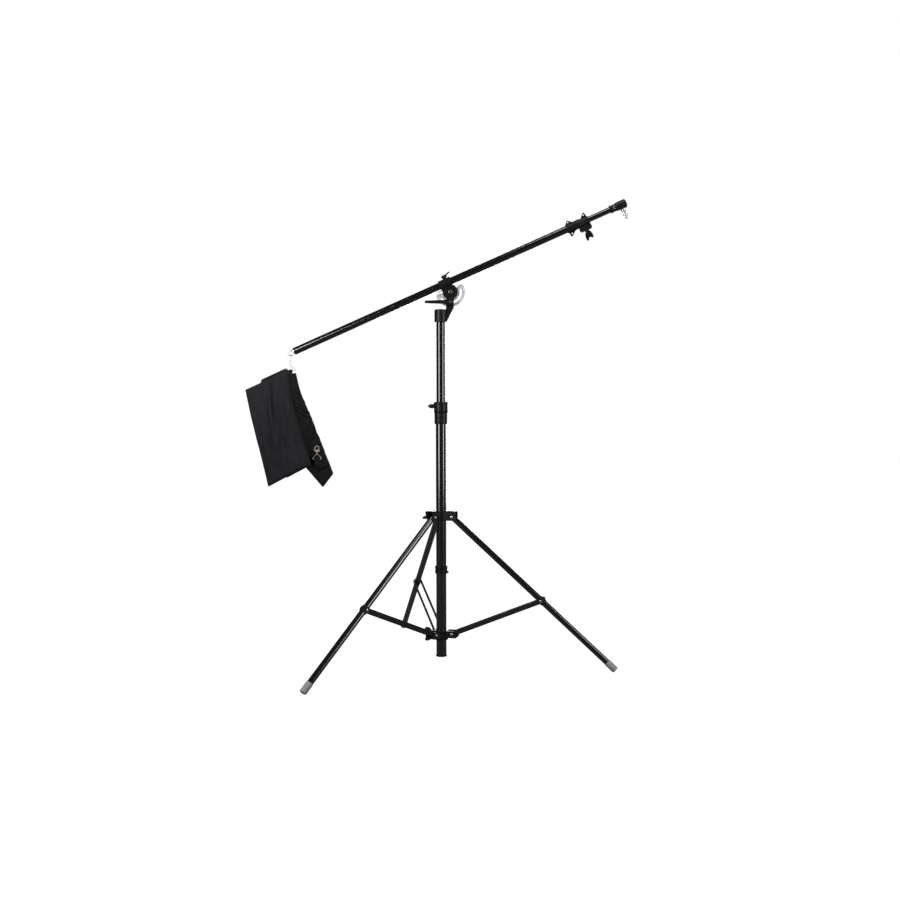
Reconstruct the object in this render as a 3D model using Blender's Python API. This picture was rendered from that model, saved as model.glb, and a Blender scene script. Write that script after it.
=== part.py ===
"""A studio boom light stand whose counterweight is an empty saddle bag.

Sizes are in millimetres and degrees, and the helpers turn them into metres and radians. +Z is up.
The origin is the centre of the foot cap under the column, and the floor is 18 mm below it.
Each moving piece hangs on an empty that sits on its joint's axis.
"""

import math

import bmesh
import bpy
from mathutils import Matrix, Vector

MM = 0.001
FULL_TURN = 2.0 * math.pi
ALONG_X = Matrix.Rotation(math.radians(90.0), 4, "Y")
ALONG_Y = Matrix.Rotation(math.radians(-90.0), 4, "X")
SHARP_ABOVE = 35.0

# The stance
FLOOR = -18.0
LEG_AZIMUTHS = (-15.0, -135.0, 105.0)
KNOB_AZIMUTH = 165.0
PIVOT_REACH = 40.0
CROWN_HEIGHT = 479.5
HUB_HEIGHT = 79.0
LEG_SPREAD = 48.27
STRUT_RISE = 22.33
LEG_LENGTH = 740.0
STRUT_SPAN = 332.4
STRUT_ON_LEG = 412.0

# Tubes, as outer radius and bore
COLUMN = (17.5, 16.3)
MAST = (15.0, 13.8)
LEG = (10.5, 9.5)
BOOM = (12.5, 11.3)
THIN_BOOM = (10.0, 8.8)
ROUND = 20
SMALL_ROUND = 16
LEG_ROUND = 16
FIT = 0.4
GAP = 0.3

# Heights on the column
COLUMN_FOOT = 5.3
COLUMN_TOP = 838.0
STOP_LOW = 285.0
STOP_TOP = 312.6
COLLAR_LOW = 799.3
COLLAR_TOP = 840.6
CLAMP_TOP = 875.0
COLLAR_KNOB_HEIGHT = 861.0
MAST_LOW = 300.0
MAST_TOP = 1189.0
HEAD_LOW = 1150.0
HEAD_TOP = 1193.0

# Screws and rivets
SCREW_RADIUS = 3.0
SCREW_HOLE = 3.4
RIVET_RADIUS = 2.6
RIVET_HOLE = 2.95
RIVET_HEAD = 5.5

# The tilting head
TILT_PIVOT = (33.0, 0.0, 1254.0)
BOLT_PLACE = (35.6, 0.0, 1217.2)
BOOM_TILT = 24.0
BOOM_ABOVE_PIVOT = 33.0
ARM_HALF = 5.1
CHEEK_INSIDE = 5.5
CHEEK_OUTSIDE = 8.5

# Lengths along the boom, from above the tilt pivot
BOOM_BACK = -573.7
BOOM_FRONT = 500.0
THIN_BACK = -330.0
THIN_FRONT = 640.0
RING_PLACE = -588.0
RING_RADIUS = 9.0
RING_WIRE = 2.25
JOINT_KNOB_PLACE = 517.0
SPIGOT_PLACE = 660.0

# The hook and the bag that hang below the ring
BAR_DROP = 60.0
HOOK_WIRE = 1.8
STRAP_HALF = 6.0
SIDE_HOOK_PLACE = (91.0, -8.0, -267.0)
SIDE_HOOK_BEARING = -58.0

FINISHES = {
    "tube_lacquer": ((0.055, 0.055, 0.065), 0.32, 0.75),
    "satin_black": ((0.025, 0.025, 0.028), 0.45, 0.55),
    "chrome": ((0.78, 0.78, 0.80), 0.12, 1.0),
    "silver": ((0.72, 0.72, 0.73), 0.35, 0.9),
    "black_plastic": ((0.02, 0.02, 0.022), 0.5, 0.0),
    "grey_rubber": ((0.30, 0.30, 0.31), 0.75, 0.0),
    "nylon": ((0.022, 0.026, 0.035), 0.8, 0.0),
}


def clear_scene():
    for obj in list(bpy.data.objects):
        bpy.data.objects.remove(obj, do_unlink=True)


def paint(name, finish):
    """The piece's own material, in the colour of its finish."""
    colour, roughness, metallic = FINISHES[finish]
    made = bpy.data.materials.new(f"{name}_{finish}")
    made.use_nodes = True
    shader = made.node_tree.nodes["Principled BSDF"]
    shader.inputs["Base Color"].default_value = (*colour, 1.0)
    shader.inputs["Roughness"].default_value = roughness
    shader.inputs["Metallic"].default_value = metallic
    return made


def frame(name, parent=None, at=(0.0, 0.0, 0.0), turn=(0.0, 0.0, 0.0)):
    """An empty on a joint's axis."""
    empty = bpy.data.objects.new(name, None)
    bpy.context.scene.collection.objects.link(empty)
    empty.parent = parent
    empty.location = Vector(at) * MM
    empty.rotation_euler = [math.radians(angle) for angle in turn]
    return empty


def solid(name, shape, parent, finish=None):
    """A named object from a closed shape, given in the frame of its parent."""
    bmesh.ops.recalc_face_normals(shape, faces=shape.faces)
    if shape.calc_volume(signed=True) < 0.0:
        bmesh.ops.reverse_faces(shape, faces=shape.faces)
    mesh = bpy.data.meshes.new(name)
    shape.to_mesh(mesh)
    shape.free()
    mesh.shade_smooth()
    mesh.set_sharp_from_angle(angle=math.radians(SHARP_ABOVE))
    obj = bpy.data.objects.new(name, mesh)
    bpy.context.scene.collection.objects.link(obj)
    obj.parent = parent
    if finish:
        obj.data.materials.append(paint(name, finish))
    return obj


def change(obj, operation, shape):
    """Joins a shape to a piece, or cuts it away, in the frame of the piece's parent."""
    helper = solid(f"{obj.name}_{operation.lower()}_{len(obj.modifiers)}", shape, obj.parent)
    helper.hide_render = True
    helper.display_type = "WIRE"
    step = obj.modifiers.new(helper.name, "BOOLEAN")
    step.operation = operation
    step.object = helper


def join(obj, shape):
    change(obj, "UNION", shape)


def cut(obj, shape):
    change(obj, "DIFFERENCE", shape)


def moved(shape, matrix):
    bmesh.ops.transform(shape, matrix=matrix, verts=shape.verts)
    return shape


def shift(x, y, z):
    return Matrix.Translation(Vector((x, y, z)) * MM)


def bearing(azimuth):
    """A turn about the column, so that X points outwards at this azimuth."""
    return Matrix.Rotation(math.radians(azimuth), 4, "Z")


def together(shapes):
    """Shapes that don't touch, in one mesh, for a single join or cut."""
    whole = bmesh.new()
    for shape in shapes:
        spare = bpy.data.meshes.new("spare")
        shape.to_mesh(spare)
        shape.free()
        whole.from_mesh(spare)
        bpy.data.meshes.remove(spare)
    return whole


def turned(profile, sides):
    """A (radius, height) profile turned about Z: a solid if it starts on the axis, else a ring."""
    shape = bmesh.new()
    points = [shape.verts.new((radius * MM, 0.0, height * MM)) for radius, height in profile]
    following = points[1:] if profile[0][0] == 0.0 else points[1:] + points[:1]
    edges = [shape.edges.new(pair) for pair in zip(points, following)]
    bmesh.ops.spin(
        shape, geom=points + edges, cent=(0, 0, 0), axis=(0, 0, 1), angle=FULL_TURN, steps=sides, use_merge=True
    )
    bmesh.ops.remove_doubles(shape, verts=shape.verts, dist=1e-6)
    return shape


def sleeve(bore, radius, low, top, sides, chamfer=0.0):
    """A plain tube along Z, with its outer rims chamfered."""
    if chamfer == 0.0:
        return turned([(bore, low), (radius, low), (radius, top), (bore, top)], sides)
    inner = radius - chamfer
    outline = [(bore, low), (inner, low), (radius, low + chamfer), (radius, top - chamfer), (inner, top), (bore, top)]
    return turned(outline, sides)


def plate(outline, low, high, along="Y"):
    """A closed outline given thickness: (y, z) along X, (x, z) along Y or (x, y) along Z."""
    order = {"X": (2, 0, 1), "Y": (0, 2, 1), "Z": (0, 1, 2)}[along]

    def point(across, up, depth):
        spot = (across, up, depth)
        return Vector([spot[place] for place in order]) * MM

    shape = bmesh.new()
    base = shape.faces.new([shape.verts.new(point(across, up, low)) for across, up in outline])
    grown = bmesh.ops.extrude_face_region(shape, geom=[base])
    raised = [corner for corner in grown["geom"] if isinstance(corner, bmesh.types.BMVert)]
    bmesh.ops.translate(shape, verts=raised, vec=point(0.0, 0.0, high - low))
    return shape


def rod(start, end, radius, sides=12):
    """A closed cylinder between two points."""
    along = Vector(end) - Vector(start)
    middle = (Vector(start) + Vector(end)) / 2.0
    shape = bmesh.new()
    bmesh.ops.create_cone(
        shape, cap_ends=True, segments=sides, radius1=radius * MM, radius2=radius * MM, depth=along.length * MM
    )
    return moved(shape, shift(*middle) @ along.to_track_quat("Z", "Y").to_matrix().to_4x4())


def block(low, high):
    """A box between two corners."""
    size = Vector(high) - Vector(low)
    middle = (Vector(high) + Vector(low)) / 2.0
    shape = bmesh.new()
    bmesh.ops.create_cube(shape, size=MM)
    bmesh.ops.scale(shape, verts=shape.verts, vec=size)
    return moved(shape, shift(*middle))


def arc(centre, radius, start, stop, steps):
    """Points on an arc, with its angles in degrees."""
    angles = [math.radians(start + (stop - start) * step / steps) for step in range(steps + 1)]
    return [(centre[0] + radius * math.cos(angle), centre[1] + radius * math.sin(angle)) for angle in angles]


def wire(points, radius, sides=8, closed=False):
    """A round wire bent along points."""
    path = [Vector(point) * MM for point in points]
    shape = bmesh.new()
    rings = []
    across = None
    for index, point in enumerate(path):
        before = path[index - 1] if closed or index > 0 else point
        after = path[(index + 1) % len(path)] if closed or index < len(path) - 1 else point
        along = (after - before).normalized()
        across = along.orthogonal() if across is None else across - along * across.dot(along)
        across.normalize()
        other = along.cross(across)
        ring = []
        for side in range(sides):
            angle = FULL_TURN * side / sides
            ring.append(shape.verts.new(point + radius * MM * (math.cos(angle) * across + math.sin(angle) * other)))
        rings.append(ring)
    following = rings[1:] + rings[:1] if closed else rings[1:]
    for ring, next_ring in zip(rings, following):
        for side in range(sides):
            far = (side + 1) % sides
            shape.faces.new([ring[side], ring[far], next_ring[far], next_ring[side]])
    if not closed:
        shape.faces.new(rings[0])
        shape.faces.new(rings[-1])
    return shape


def wing_screw(name, parent, length, shank, half_span=24.0, wing_turn=0.0):
    """A clamping screw with butterfly wings. Its axis is Z, and its boss ends at zero."""
    hub = 7.2
    top = 0.78 * length
    profile = [(0.0, -shank), (SCREW_RADIUS, -shank), (SCREW_RADIUS, GAP), (hub, GAP), (hub + 0.6, 0.3 * top)]
    profile += [(hub - 1.0, 0.85 * top), (hub - 2.6, top), (0.0, top)]
    knob = solid(name, turned(profile, 12), parent, "black_plastic")
    right = [(5.0, 0.12 * length), (0.55 * half_span, 0.16 * length), (0.9 * half_span, 0.42 * length)]
    right += [(half_span, 0.72 * length), (0.97 * half_span, 0.93 * length), (0.82 * half_span, length)]
    right += [(0.55 * half_span, 0.93 * length), (0.28 * half_span, 0.66 * length)]
    outline = right + [(-across, up) for across, up in reversed(right)]
    turn = Matrix.Rotation(math.radians(wing_turn), 4, "Z")
    join(knob, moved(plate(outline, -2.5, 2.5), turn))
    return knob


def radial_frame(name, parent, reach, height, azimuth):
    """A frame whose Z points outwards from the column."""
    angle = math.radians(azimuth)
    return frame(name, parent, (reach * math.cos(angle), reach * math.sin(angle), height), (0.0, 90.0, azimuth))


def rivet(name, parent, half_length, azimuth):
    """A hinge rivet with two domed heads, across a leg's lugs."""
    shank = half_length + GAP
    profile = [(0.0, shank + 2.2), (4.0, shank + 1.6), (RIVET_HEAD, shank), (RIVET_RADIUS, shank)]
    mirrored = [(radius, -height) for radius, height in reversed(profile)]
    shape = turned(profile + mirrored, 12)
    return solid(name, moved(shape, bearing(azimuth) @ shift(PIVOT_REACH, 0, 0) @ ALONG_Y), parent, "silver")


def yoke(name, parent, low, top, lug_outline, lug_half, channel_half, channel_low, channel_top):
    """A ring that slides on the column, with three forked lugs and a screw boss."""
    ring = [(0.0, low), (22.2, low), (23.0, low + 1.2), (23.0, top - 1.2), (22.2, top), (0.0, top)]
    made = solid(name, turned(ring, ROUND), parent, "satin_black")
    join(made, together([moved(plate(lug_outline, -lug_half, lug_half), bearing(at)) for at in LEG_AZIMUTHS]))
    boss = moved(rod((18.5, 0, (low + top) / 2), (30.0, 0, (low + top) / 2), 8.5, 16), bearing(KNOB_AZIMUTH))
    join(made, boss)
    corners = ((24.5, -channel_half, channel_low), (70.0, channel_half, channel_top))
    cut(made, together([moved(block(*corners), bearing(at)) for at in LEG_AZIMUTHS]))
    reach = lug_half + 5.0
    holes = [
        moved(rod((PIVOT_REACH, -reach, 0), (PIVOT_REACH, reach, 0), RIVET_HOLE), bearing(at)) for at in LEG_AZIMUTHS
    ]
    cut(made, together(holes))
    cut(made, turned([(0.0, low - 5), (COLUMN[0] + FIT, low - 5), (COLUMN[0] + FIT, top + 5), (0.0, top + 5)], ROUND))
    cut(made, moved(rod((12.0, 0, (low + top) / 2), (35.0, 0, (low + top) / 2), SCREW_HOLE), bearing(KNOB_AZIMUTH)))
    return made


def make_column():
    column = frame("column_frame")
    solid("outer_tube", sleeve(COLUMN[1], COLUMN[0], COLUMN_FOOT, COLUMN_TOP, ROUND), column, "tube_lacquer")
    cap = [(0.0, 0.0), (18.2, 0.0), (19.0, 0.8), (19.0, 5.0), (16.0, 5.0), (16.0, 24.0), (15.0, 25.0), (0.0, 25.0)]
    solid("foot_cap", turned(cap, ROUND), column, "black_plastic")

    bore = COLUMN[0] + GAP
    bands = [(bore, STOP_LOW), (21.4, STOP_LOW), (21.4, STOP_LOW + 12), (20.0, STOP_LOW + 13)]
    bands += [(20.0, STOP_LOW + 15), (21.4, STOP_LOW + 16), (21.4, STOP_TOP), (bore, STOP_TOP)]
    stop_ring = solid("stop_ring", turned(bands, ROUND), column, "satin_black")
    join(stop_ring, block((20.0, -3.0, STOP_LOW + 1.5), (25.5, 3.0, STOP_LOW + 8.5)))

    ferrule = [(bore, COLLAR_LOW), (21.2, COLLAR_LOW), (22.0, COLLAR_LOW + 1.5), (22.0, COLLAR_TOP - 8)]
    ferrule += [(21.4, COLLAR_TOP - 6), (23.4, COLLAR_TOP - 2.5), (23.4, COLLAR_TOP), (bore, COLLAR_TOP)]
    solid("mid_collar", turned(ferrule, ROUND), column, "satin_black")

    clamp_low = COLLAR_TOP + GAP
    clamp = sleeve(MAST[0] + FIT, 24.0, clamp_low, CLAMP_TOP, ROUND, 1.8)
    collar_clamp = solid("collar_clamp", clamp, column, "satin_black")
    join(collar_clamp, rod((-18.0, 0, COLLAR_KNOB_HEIGHT), (-26.5, 0, COLLAR_KNOB_HEIGHT), 8.0, 16))
    cut(collar_clamp, rod((-8.0, 0, COLLAR_KNOB_HEIGHT), (-30.0, 0, COLLAR_KNOB_HEIGHT), SCREW_HOLE))
    knob = radial_frame("collar_knob_frame", column, 26.5, COLLAR_KNOB_HEIGHT, 180.0)
    wing_screw("collar_knob", knob, 18.5, 10.8, 20.0, 90.0)
    return column


def make_leg(crown, number, azimuth):
    """A leg tube with its rubber foot and the clip that its struts pivot on."""
    angle = math.radians(azimuth)
    place = (PIVOT_REACH * math.cos(angle), PIVOT_REACH * math.sin(angle), 0.0)
    hinge = frame(f"leg_{number}_hinge", crown, place, (0.0, -LEG_SPREAD, azimuth))
    leg_tube = solid(f"leg_tube_{number}", sleeve(LEG[1], LEG[0], -731.0, 9.0, LEG_ROUND), hinge, "tube_lacquer")
    cut(leg_tube, rod((0, -15.0, 0), (0, 15.0, 0), RIVET_HOLE))

    bore = LEG[0] + GAP
    cup = [(0.0, -LEG_LENGTH), (9.5, -LEG_LENGTH), (11.9, 2.5 - LEG_LENGTH), (11.9, -705.0), (11.3, -703.0)]
    cup += [(bore, -703.0), (bore, -731.3), (0.0, -731.3)]
    leg_foot = solid(f"leg_foot_{number}", turned(cup, LEG_ROUND), hinge, "grey_rubber")
    crown_turn = Matrix.Rotation(math.radians(LEG_SPREAD), 4, "Y")
    below_hinge = FLOOR - CROWN_HEIGHT
    ground = block((400.0, -40.0, below_hinge - 30.0), (700.0, 40.0, below_hinge))
    cut(leg_foot, moved(ground, crown_turn))

    along = -STRUT_ON_LEG
    clip = solid(f"strut_clip_{number}", sleeve(bore, 12.5, along - 11, along + 11, LEG_ROUND), hinge, "black_plastic")
    ear = [(11.5, along - 6), (16.5, along - 3.5), (16.5, along + 3.5), (11.5, along + 6)]
    join(clip, plate(ear, -3.5, 3.5))


def make_crown(column):
    crown = frame("crown_frame", column, (0.0, 0.0, CROWN_HEIGHT))
    low, top, reach, corner = -12.0, 22.0, 55.6, 9.0
    outline = [(18.0, top)] + arc((reach - corner, top - corner), corner, 90, 0, 4)
    outline += arc((reach - corner, low + corner), corner, 0, -90, 4) + [(18.0, low)]
    yoke("crown", crown, low, top, outline, 14.0, 11.0, low - 3.0, top - 3.0)
    for number, azimuth in enumerate(LEG_AZIMUTHS, 1):
        rivet(f"crown_rivet_{number}", crown, 14.0, azimuth)
        make_leg(crown, number, azimuth)
    knob = radial_frame("crown_knob_frame", crown, 30.0, (low + top) / 2.0, KNOB_AZIMUTH)
    wing_screw("crown_knob", knob, 32.0, 11.8, 24.0, 65.0)


def make_struts(hub, number, azimuth):
    """Two flat bars on one hinge axis, with a domed rivet head at each outer end."""
    angle = math.radians(azimuth)
    place = (PIVOT_REACH * math.cos(angle), PIVOT_REACH * math.sin(angle), 0.0)
    hinge = frame(f"strut_{number}_hinge", hub, place, (0.0, -STRUT_RISE, azimuth))
    inner, outer, half = 12.8, 14.8, 8.0
    outline = arc((STRUT_SPAN, 0.0), half, -90, 90, 6) + arc((0.0, 0.0), half, 90, 270, 6)
    for letter, side in (("a", 1.0), ("b", -1.0)):
        bar = plate(outline, *sorted((side * inner, side * outer)))
        strut_bar = solid(f"strut_bar_{number}{letter}", bar, hinge, "satin_black")
        cut(strut_bar, rod((0, side * (inner - 2), 0), (0, side * (outer + 2), 0), RIVET_HOLE))
        head = turned([(0.0, 0.0), (RIVET_HEAD, 0.0), (RIVET_HEAD, 1.6), (4.0, 3.0), (0.0, 3.5)], 10)
        join(strut_bar, moved(head, shift(STRUT_SPAN, side * (outer - 1), 0) @ Matrix.Rotation(
            math.radians(-90.0 * side), 4, "X")))


def make_hub(column):
    hub = frame("hub_frame", column, (0.0, 0.0, HUB_HEIGHT))
    low, top, reach, corner = -12.6, 11.3, 58.8, 6.0
    outline = [(18.0, top)] + arc((reach - corner, top - corner), corner, 90, 0, 4)
    outline += arc((reach - corner, low + corner), corner, 0, -90, 4) + [(18.0, low)]
    yoke("hub", hub, -21.5, 11.5, outline, 17.6, 15.1, low + 2.5, top + 3.0)
    for number, azimuth in enumerate(LEG_AZIMUTHS, 1):
        rivet(f"hub_rivet_{number}", hub, 17.6, azimuth)
        make_struts(hub, number, azimuth)
    knob = radial_frame("hub_knob_frame", hub, 30.0, -5.0, KNOB_AZIMUTH)
    wing_screw("hub_knob", knob, 29.0, 11.8)


def make_mast(column):
    mast = frame("mast_frame", column)
    solid("inner_tube", sleeve(MAST[1], MAST[0], MAST_LOW, MAST_TOP, ROUND), mast, "tube_lacquer")
    bush = [(MAST[1], MAST_LOW - 4), (16.0, MAST_LOW - 4), (16.0, MAST_LOW + 40), (MAST[0] + GAP, MAST_LOW + 40)]
    bush += [(MAST[0] + GAP, MAST_LOW - GAP), (MAST[1], MAST_LOW - GAP)]
    solid("guide_bush", turned(bush, ROUND), mast, "black_plastic")
    return mast


def make_head(mast):
    head = frame("head_frame", mast)
    bore = MAST[0] + FIT
    collar = [(bore, HEAD_LOW), (20.2, HEAD_LOW), (21.3, HEAD_LOW + 1.5), (21.3, HEAD_TOP - 2), (20.0, HEAD_TOP)]
    collar += [(13.6, HEAD_TOP), (13.6, MAST_TOP + GAP), (bore, MAST_TOP + GAP)]
    bracket = solid("head_bracket", turned(collar, ROUND), head, "satin_black")
    pivot = (TILT_PIVOT[0], TILT_PIVOT[2])
    arm = [(18.0, HEAD_LOW + 4), (22.4, HEAD_LOW + 4), (45.4, 1200.0)]
    arm += arc((BOLT_PLACE[0], BOLT_PLACE[2]), 10.5, -30, 30, 3) + arc(pivot, 12.5, 0, 180, 10)
    arm += [(19.6, 1217.0), (18.0, HEAD_TOP - 1)]
    join(bracket, plate(arm, -ARM_HALF, ARM_HALF))
    cut(bracket, moved(rod((0, 0, -1.6), (0, 0, 1.6), 52.5, 24), shift(*TILT_PIVOT) @ ALONG_Y))
    cut(bracket, rod((pivot[0], -20.0, pivot[1]), (pivot[0], 20.0, pivot[1]), 4.4, 16))
    cut(bracket, rod((BOLT_PLACE[0], -20.0, BOLT_PLACE[2]), (BOLT_PLACE[0], 20.0, BOLT_PLACE[2]), 4.2))
    cut(bracket, rod((0.0, 10.0, 1171.0), (0.0, 30.0, 1171.0), SCREW_HOLE))

    screw = [(0.0, 15.4), (SCREW_RADIUS, 15.4), (SCREW_RADIUS, 21.6), (4.6, 21.6), (4.6, 24.0), (4.0, 24.6), (0.0, 24.6)]
    solid("head_screw", moved(turned(screw, 12), shift(0, 0, 1171.0) @ ALONG_Y), head, "silver")

    half = [(0.0, 11.0), (5.2, 11.0), (6.4, 10.2), (6.4, CHEEK_OUTSIDE + GAP), (4.0, CHEEK_OUTSIDE + GAP)]
    mirrored = [(radius, -height) for radius, height in reversed(half)]
    axle = moved(turned(half + mirrored, 16), shift(*TILT_PIVOT) @ ALONG_Y)
    solid("pivot_rivet", axle, head, "silver")

    bolt = [(0.0, -20.3), (3.4, -20.3), (3.8, -19.9), (3.8, 5.4), (7.5, 5.4), (7.5, 8.6), (6.6, 9.5), (0.0, 9.5)]
    solid("tilt_bolt", moved(turned(bolt, 12), shift(*BOLT_PLACE) @ ALONG_Y), head, "silver")

    lever = frame("tilt_lever_frame", head, BOLT_PLACE)
    hub = [(4.2, -20.0), (9.0, -20.0), (10.0, -18.6), (10.0, -5.4), (4.2, -5.4)]
    tilt_lever = solid("tilt_lever", moved(turned(hub, 16), ALONG_Y), lever, "black_plastic")
    handle = [(-7.0, -6.8), (-84.0, -3.6)] + arc((-86.0, 0.8), 4.4, 250, 100, 5) + [(-60.0, 6.2), (-7.0, 6.8)]
    join(tilt_lever, plate(handle, -20.0, -14.0))
    return head


def make_boom_clamp(head):
    """The ring round the boom, its two cheeks and the slotted half disc between them."""
    clamp = frame("boom_clamp_frame", head, TILT_PIVOT, (0.0, -BOOM_TILT, 0.0))
    above = BOOM_ABOVE_PIVOT
    ring = [(0.0, -24.0), (17.5, -24.0), (17.5, -19.5), (16.7, -18.7), (16.7, 12.7), (17.5, 13.5), (17.5, 18.0)]
    ring += [(0.0, 18.0)]
    boom_clamp = solid("boom_clamp", moved(turned(ring, ROUND), shift(0, 0, above) @ ALONG_X), clamp, "satin_black")
    join(boom_clamp, block((-39.0, -CHEEK_OUTSIDE, 13.5), (24.0, CHEEK_OUTSIDE, 16.2)))
    join(boom_clamp, block((-22.0, -CHEEK_OUTSIDE, 15.0), (16.0, CHEEK_OUTSIDE, 24.0)))
    cheek = arc((0.0, 0.0), 26.0, 145, 395, 20)
    sides = ((CHEEK_INSIDE, CHEEK_OUTSIDE), (-CHEEK_OUTSIDE, -CHEEK_INSIDE))
    join(boom_clamp, together([plate(cheek, low, high) for low, high in sides]))
    join(boom_clamp, rod((2.0, 0, above + 15), (2.0, 0, above + 19), 7.0, 16))
    cut(boom_clamp, rod((-60.0, 0, above), (60.0, 0, above), BOOM[0] + FIT, SMALL_ROUND))
    cut(boom_clamp, rod((0, -20.0, 0), (0, 20.0, 0), 4.4, 16))
    cut(boom_clamp, rod((2.0, 0, above + 5), (2.0, 0, above + 30), SCREW_HOLE))

    outline = arc((0.0, 0.0), 50.5, 180, 360, 28) + arc((40.25, 0.0), 10.25, 30, 120, 4)
    outline += [(24.0, 5.0), (20.0, 13.2), (-20.0, 13.2), (-24.0, 5.0)] + arc((-40.25, 0.0), 10.25, 60, 150, 4)
    arc_plate = solid("arc_plate", plate(outline, -1.25, 1.25), clamp, "silver")
    slot = arc((0.0, 0.0), 41.3, 188, 352, 24) + arc((0.0, 0.0), 32.7, 352, 188, 24)
    cut(arc_plate, plate(slot, -3.0, 3.0))
    cut(arc_plate, rod((0, -3.0, 0), (0, 3.0, 0), 4.4, 16))

    knob = frame("clamp_screw_frame", clamp, (2.0, 0.0, above + 19.0))
    screw = [(0.0, -6.0), (SCREW_RADIUS, -6.0), (SCREW_RADIUS, GAP), (8.5, GAP), (8.5, 7.5), (7.0, 9.5), (0.0, 9.5)]
    clamp_screw = solid("clamp_screw", turned(screw, 16), knob, "black_plastic")
    bar = [(-10.0, 3.0), (-6.0, 3.0), (6.0, 5.0), (20.0, 9.0), (24.0, 12.5), (22.0, 14.5), (8.0, 11.0), (-6.0, 8.0)]
    join(clamp_screw, plate(bar, -2.2, 2.2))
    return clamp


def make_boom(clamp):
    boom = frame("boom_outer_frame", clamp, (0.0, 0.0, BOOM_ABOVE_PIVOT))
    tube = moved(sleeve(BOOM[1], BOOM[0], BOOM_BACK, BOOM_FRONT, SMALL_ROUND), ALONG_X)
    solid("boom_outer_tube", tube, boom, "tube_lacquer")

    back = BOOM_BACK
    plug = [(0.0, back + 18.7), (9.8, back + 18.7), (10.9, back + 17.5), (10.9, back - 1.5), (9.5, back - 2.8)]
    plug += [(4.0, back - 3.6), (4.0, back - 7.5), (0.0, back - 7.5)]
    end_plug = solid("boom_end_plug", moved(turned(plug, SMALL_ROUND), ALONG_X), boom, "chrome")
    eye = [(RING_RADIUS + across, up) for across, up in arc((0.0, 0.0), RING_WIRE, 0, 300, 5)]
    join(end_plug, moved(turned(eye, ROUND), shift(RING_PLACE, 0, 0) @ ALONG_Y))

    fin_sleeve = moved(sleeve(BOOM[0] + GAP, 16.0, 455.0, 489.0, SMALL_ROUND, 1.5), ALONG_X)
    joint_sleeve = solid("joint_sleeve", fin_sleeve, boom, "black_plastic")
    top_fin = [(457.5, 14.5), (463.5, 23.5)] + arc((468.0, 22.5), 4.0, 150, 20, 4) + [(483.0, 14.5)]
    low_fin = [(458.0, -14.5), (484.0, -14.5)] + arc((463.5, -26.0), 4.2, -30, -150, 4)
    join(joint_sleeve, together([plate(top_fin, -2.2, 2.2), plate(low_fin, -2.2, 2.2)]))
    eyelets = [rod((467.6, -5, 20.0), (467.6, 5, 20.0), 2.6), rod((467.0, -5, -21.0), (467.0, 5, -21.0), 2.8)]
    cut(joint_sleeve, together(eyelets))

    taper = [(BOOM[0] + GAP, 489.3), (15.5, 489.3), (16.0, 491.0), (16.0, 502.0), (14.6, 508.0), (13.4, 536.0)]
    taper += [(12.6, 537.0), (THIN_BOOM[0] + FIT, 537.0), (THIN_BOOM[0] + FIT, 500.8), (BOOM[0] + GAP, 500.8)]
    joint_clamp = solid("joint_clamp", moved(turned(taper, SMALL_ROUND), ALONG_X), boom, "black_plastic")
    crest = [(512.0, 12.5), (522.0, 23.0)] + arc((529.0, 24.5), 4.2, 130, -10, 4) + [(535.5, 12.0)]
    join(joint_clamp, plate(crest, -2.2, 2.2))
    boss = arc((500.0, -26.0), 5.5, 180, 270, 4) + arc((532.5, -26.0), 5.5, 270, 360, 4) + [(537.0, -12.2), (496.0, -14.0)]
    join(joint_clamp, plate(boss, -7.0, 7.0))
    cut(joint_clamp, rod((527.0, -5, 21.5), (527.0, 5, 21.5), 2.6))
    cut(joint_clamp, rod((490.0, 0, 0), (545.0, 0, 0), THIN_BOOM[0] + FIT, SMALL_ROUND))
    cut(joint_clamp, rod((JOINT_KNOB_PLACE, 0, -5.0), (JOINT_KNOB_PLACE, 0, -36.0), SCREW_HOLE))
    knob = frame("joint_knob_frame", boom, (JOINT_KNOB_PLACE, 0.0, -31.5), (180.0, 0.0, 0.0))
    wing_screw("joint_knob", knob, 33.0, 20.5, 22.0, 70.0)
    return boom


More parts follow.
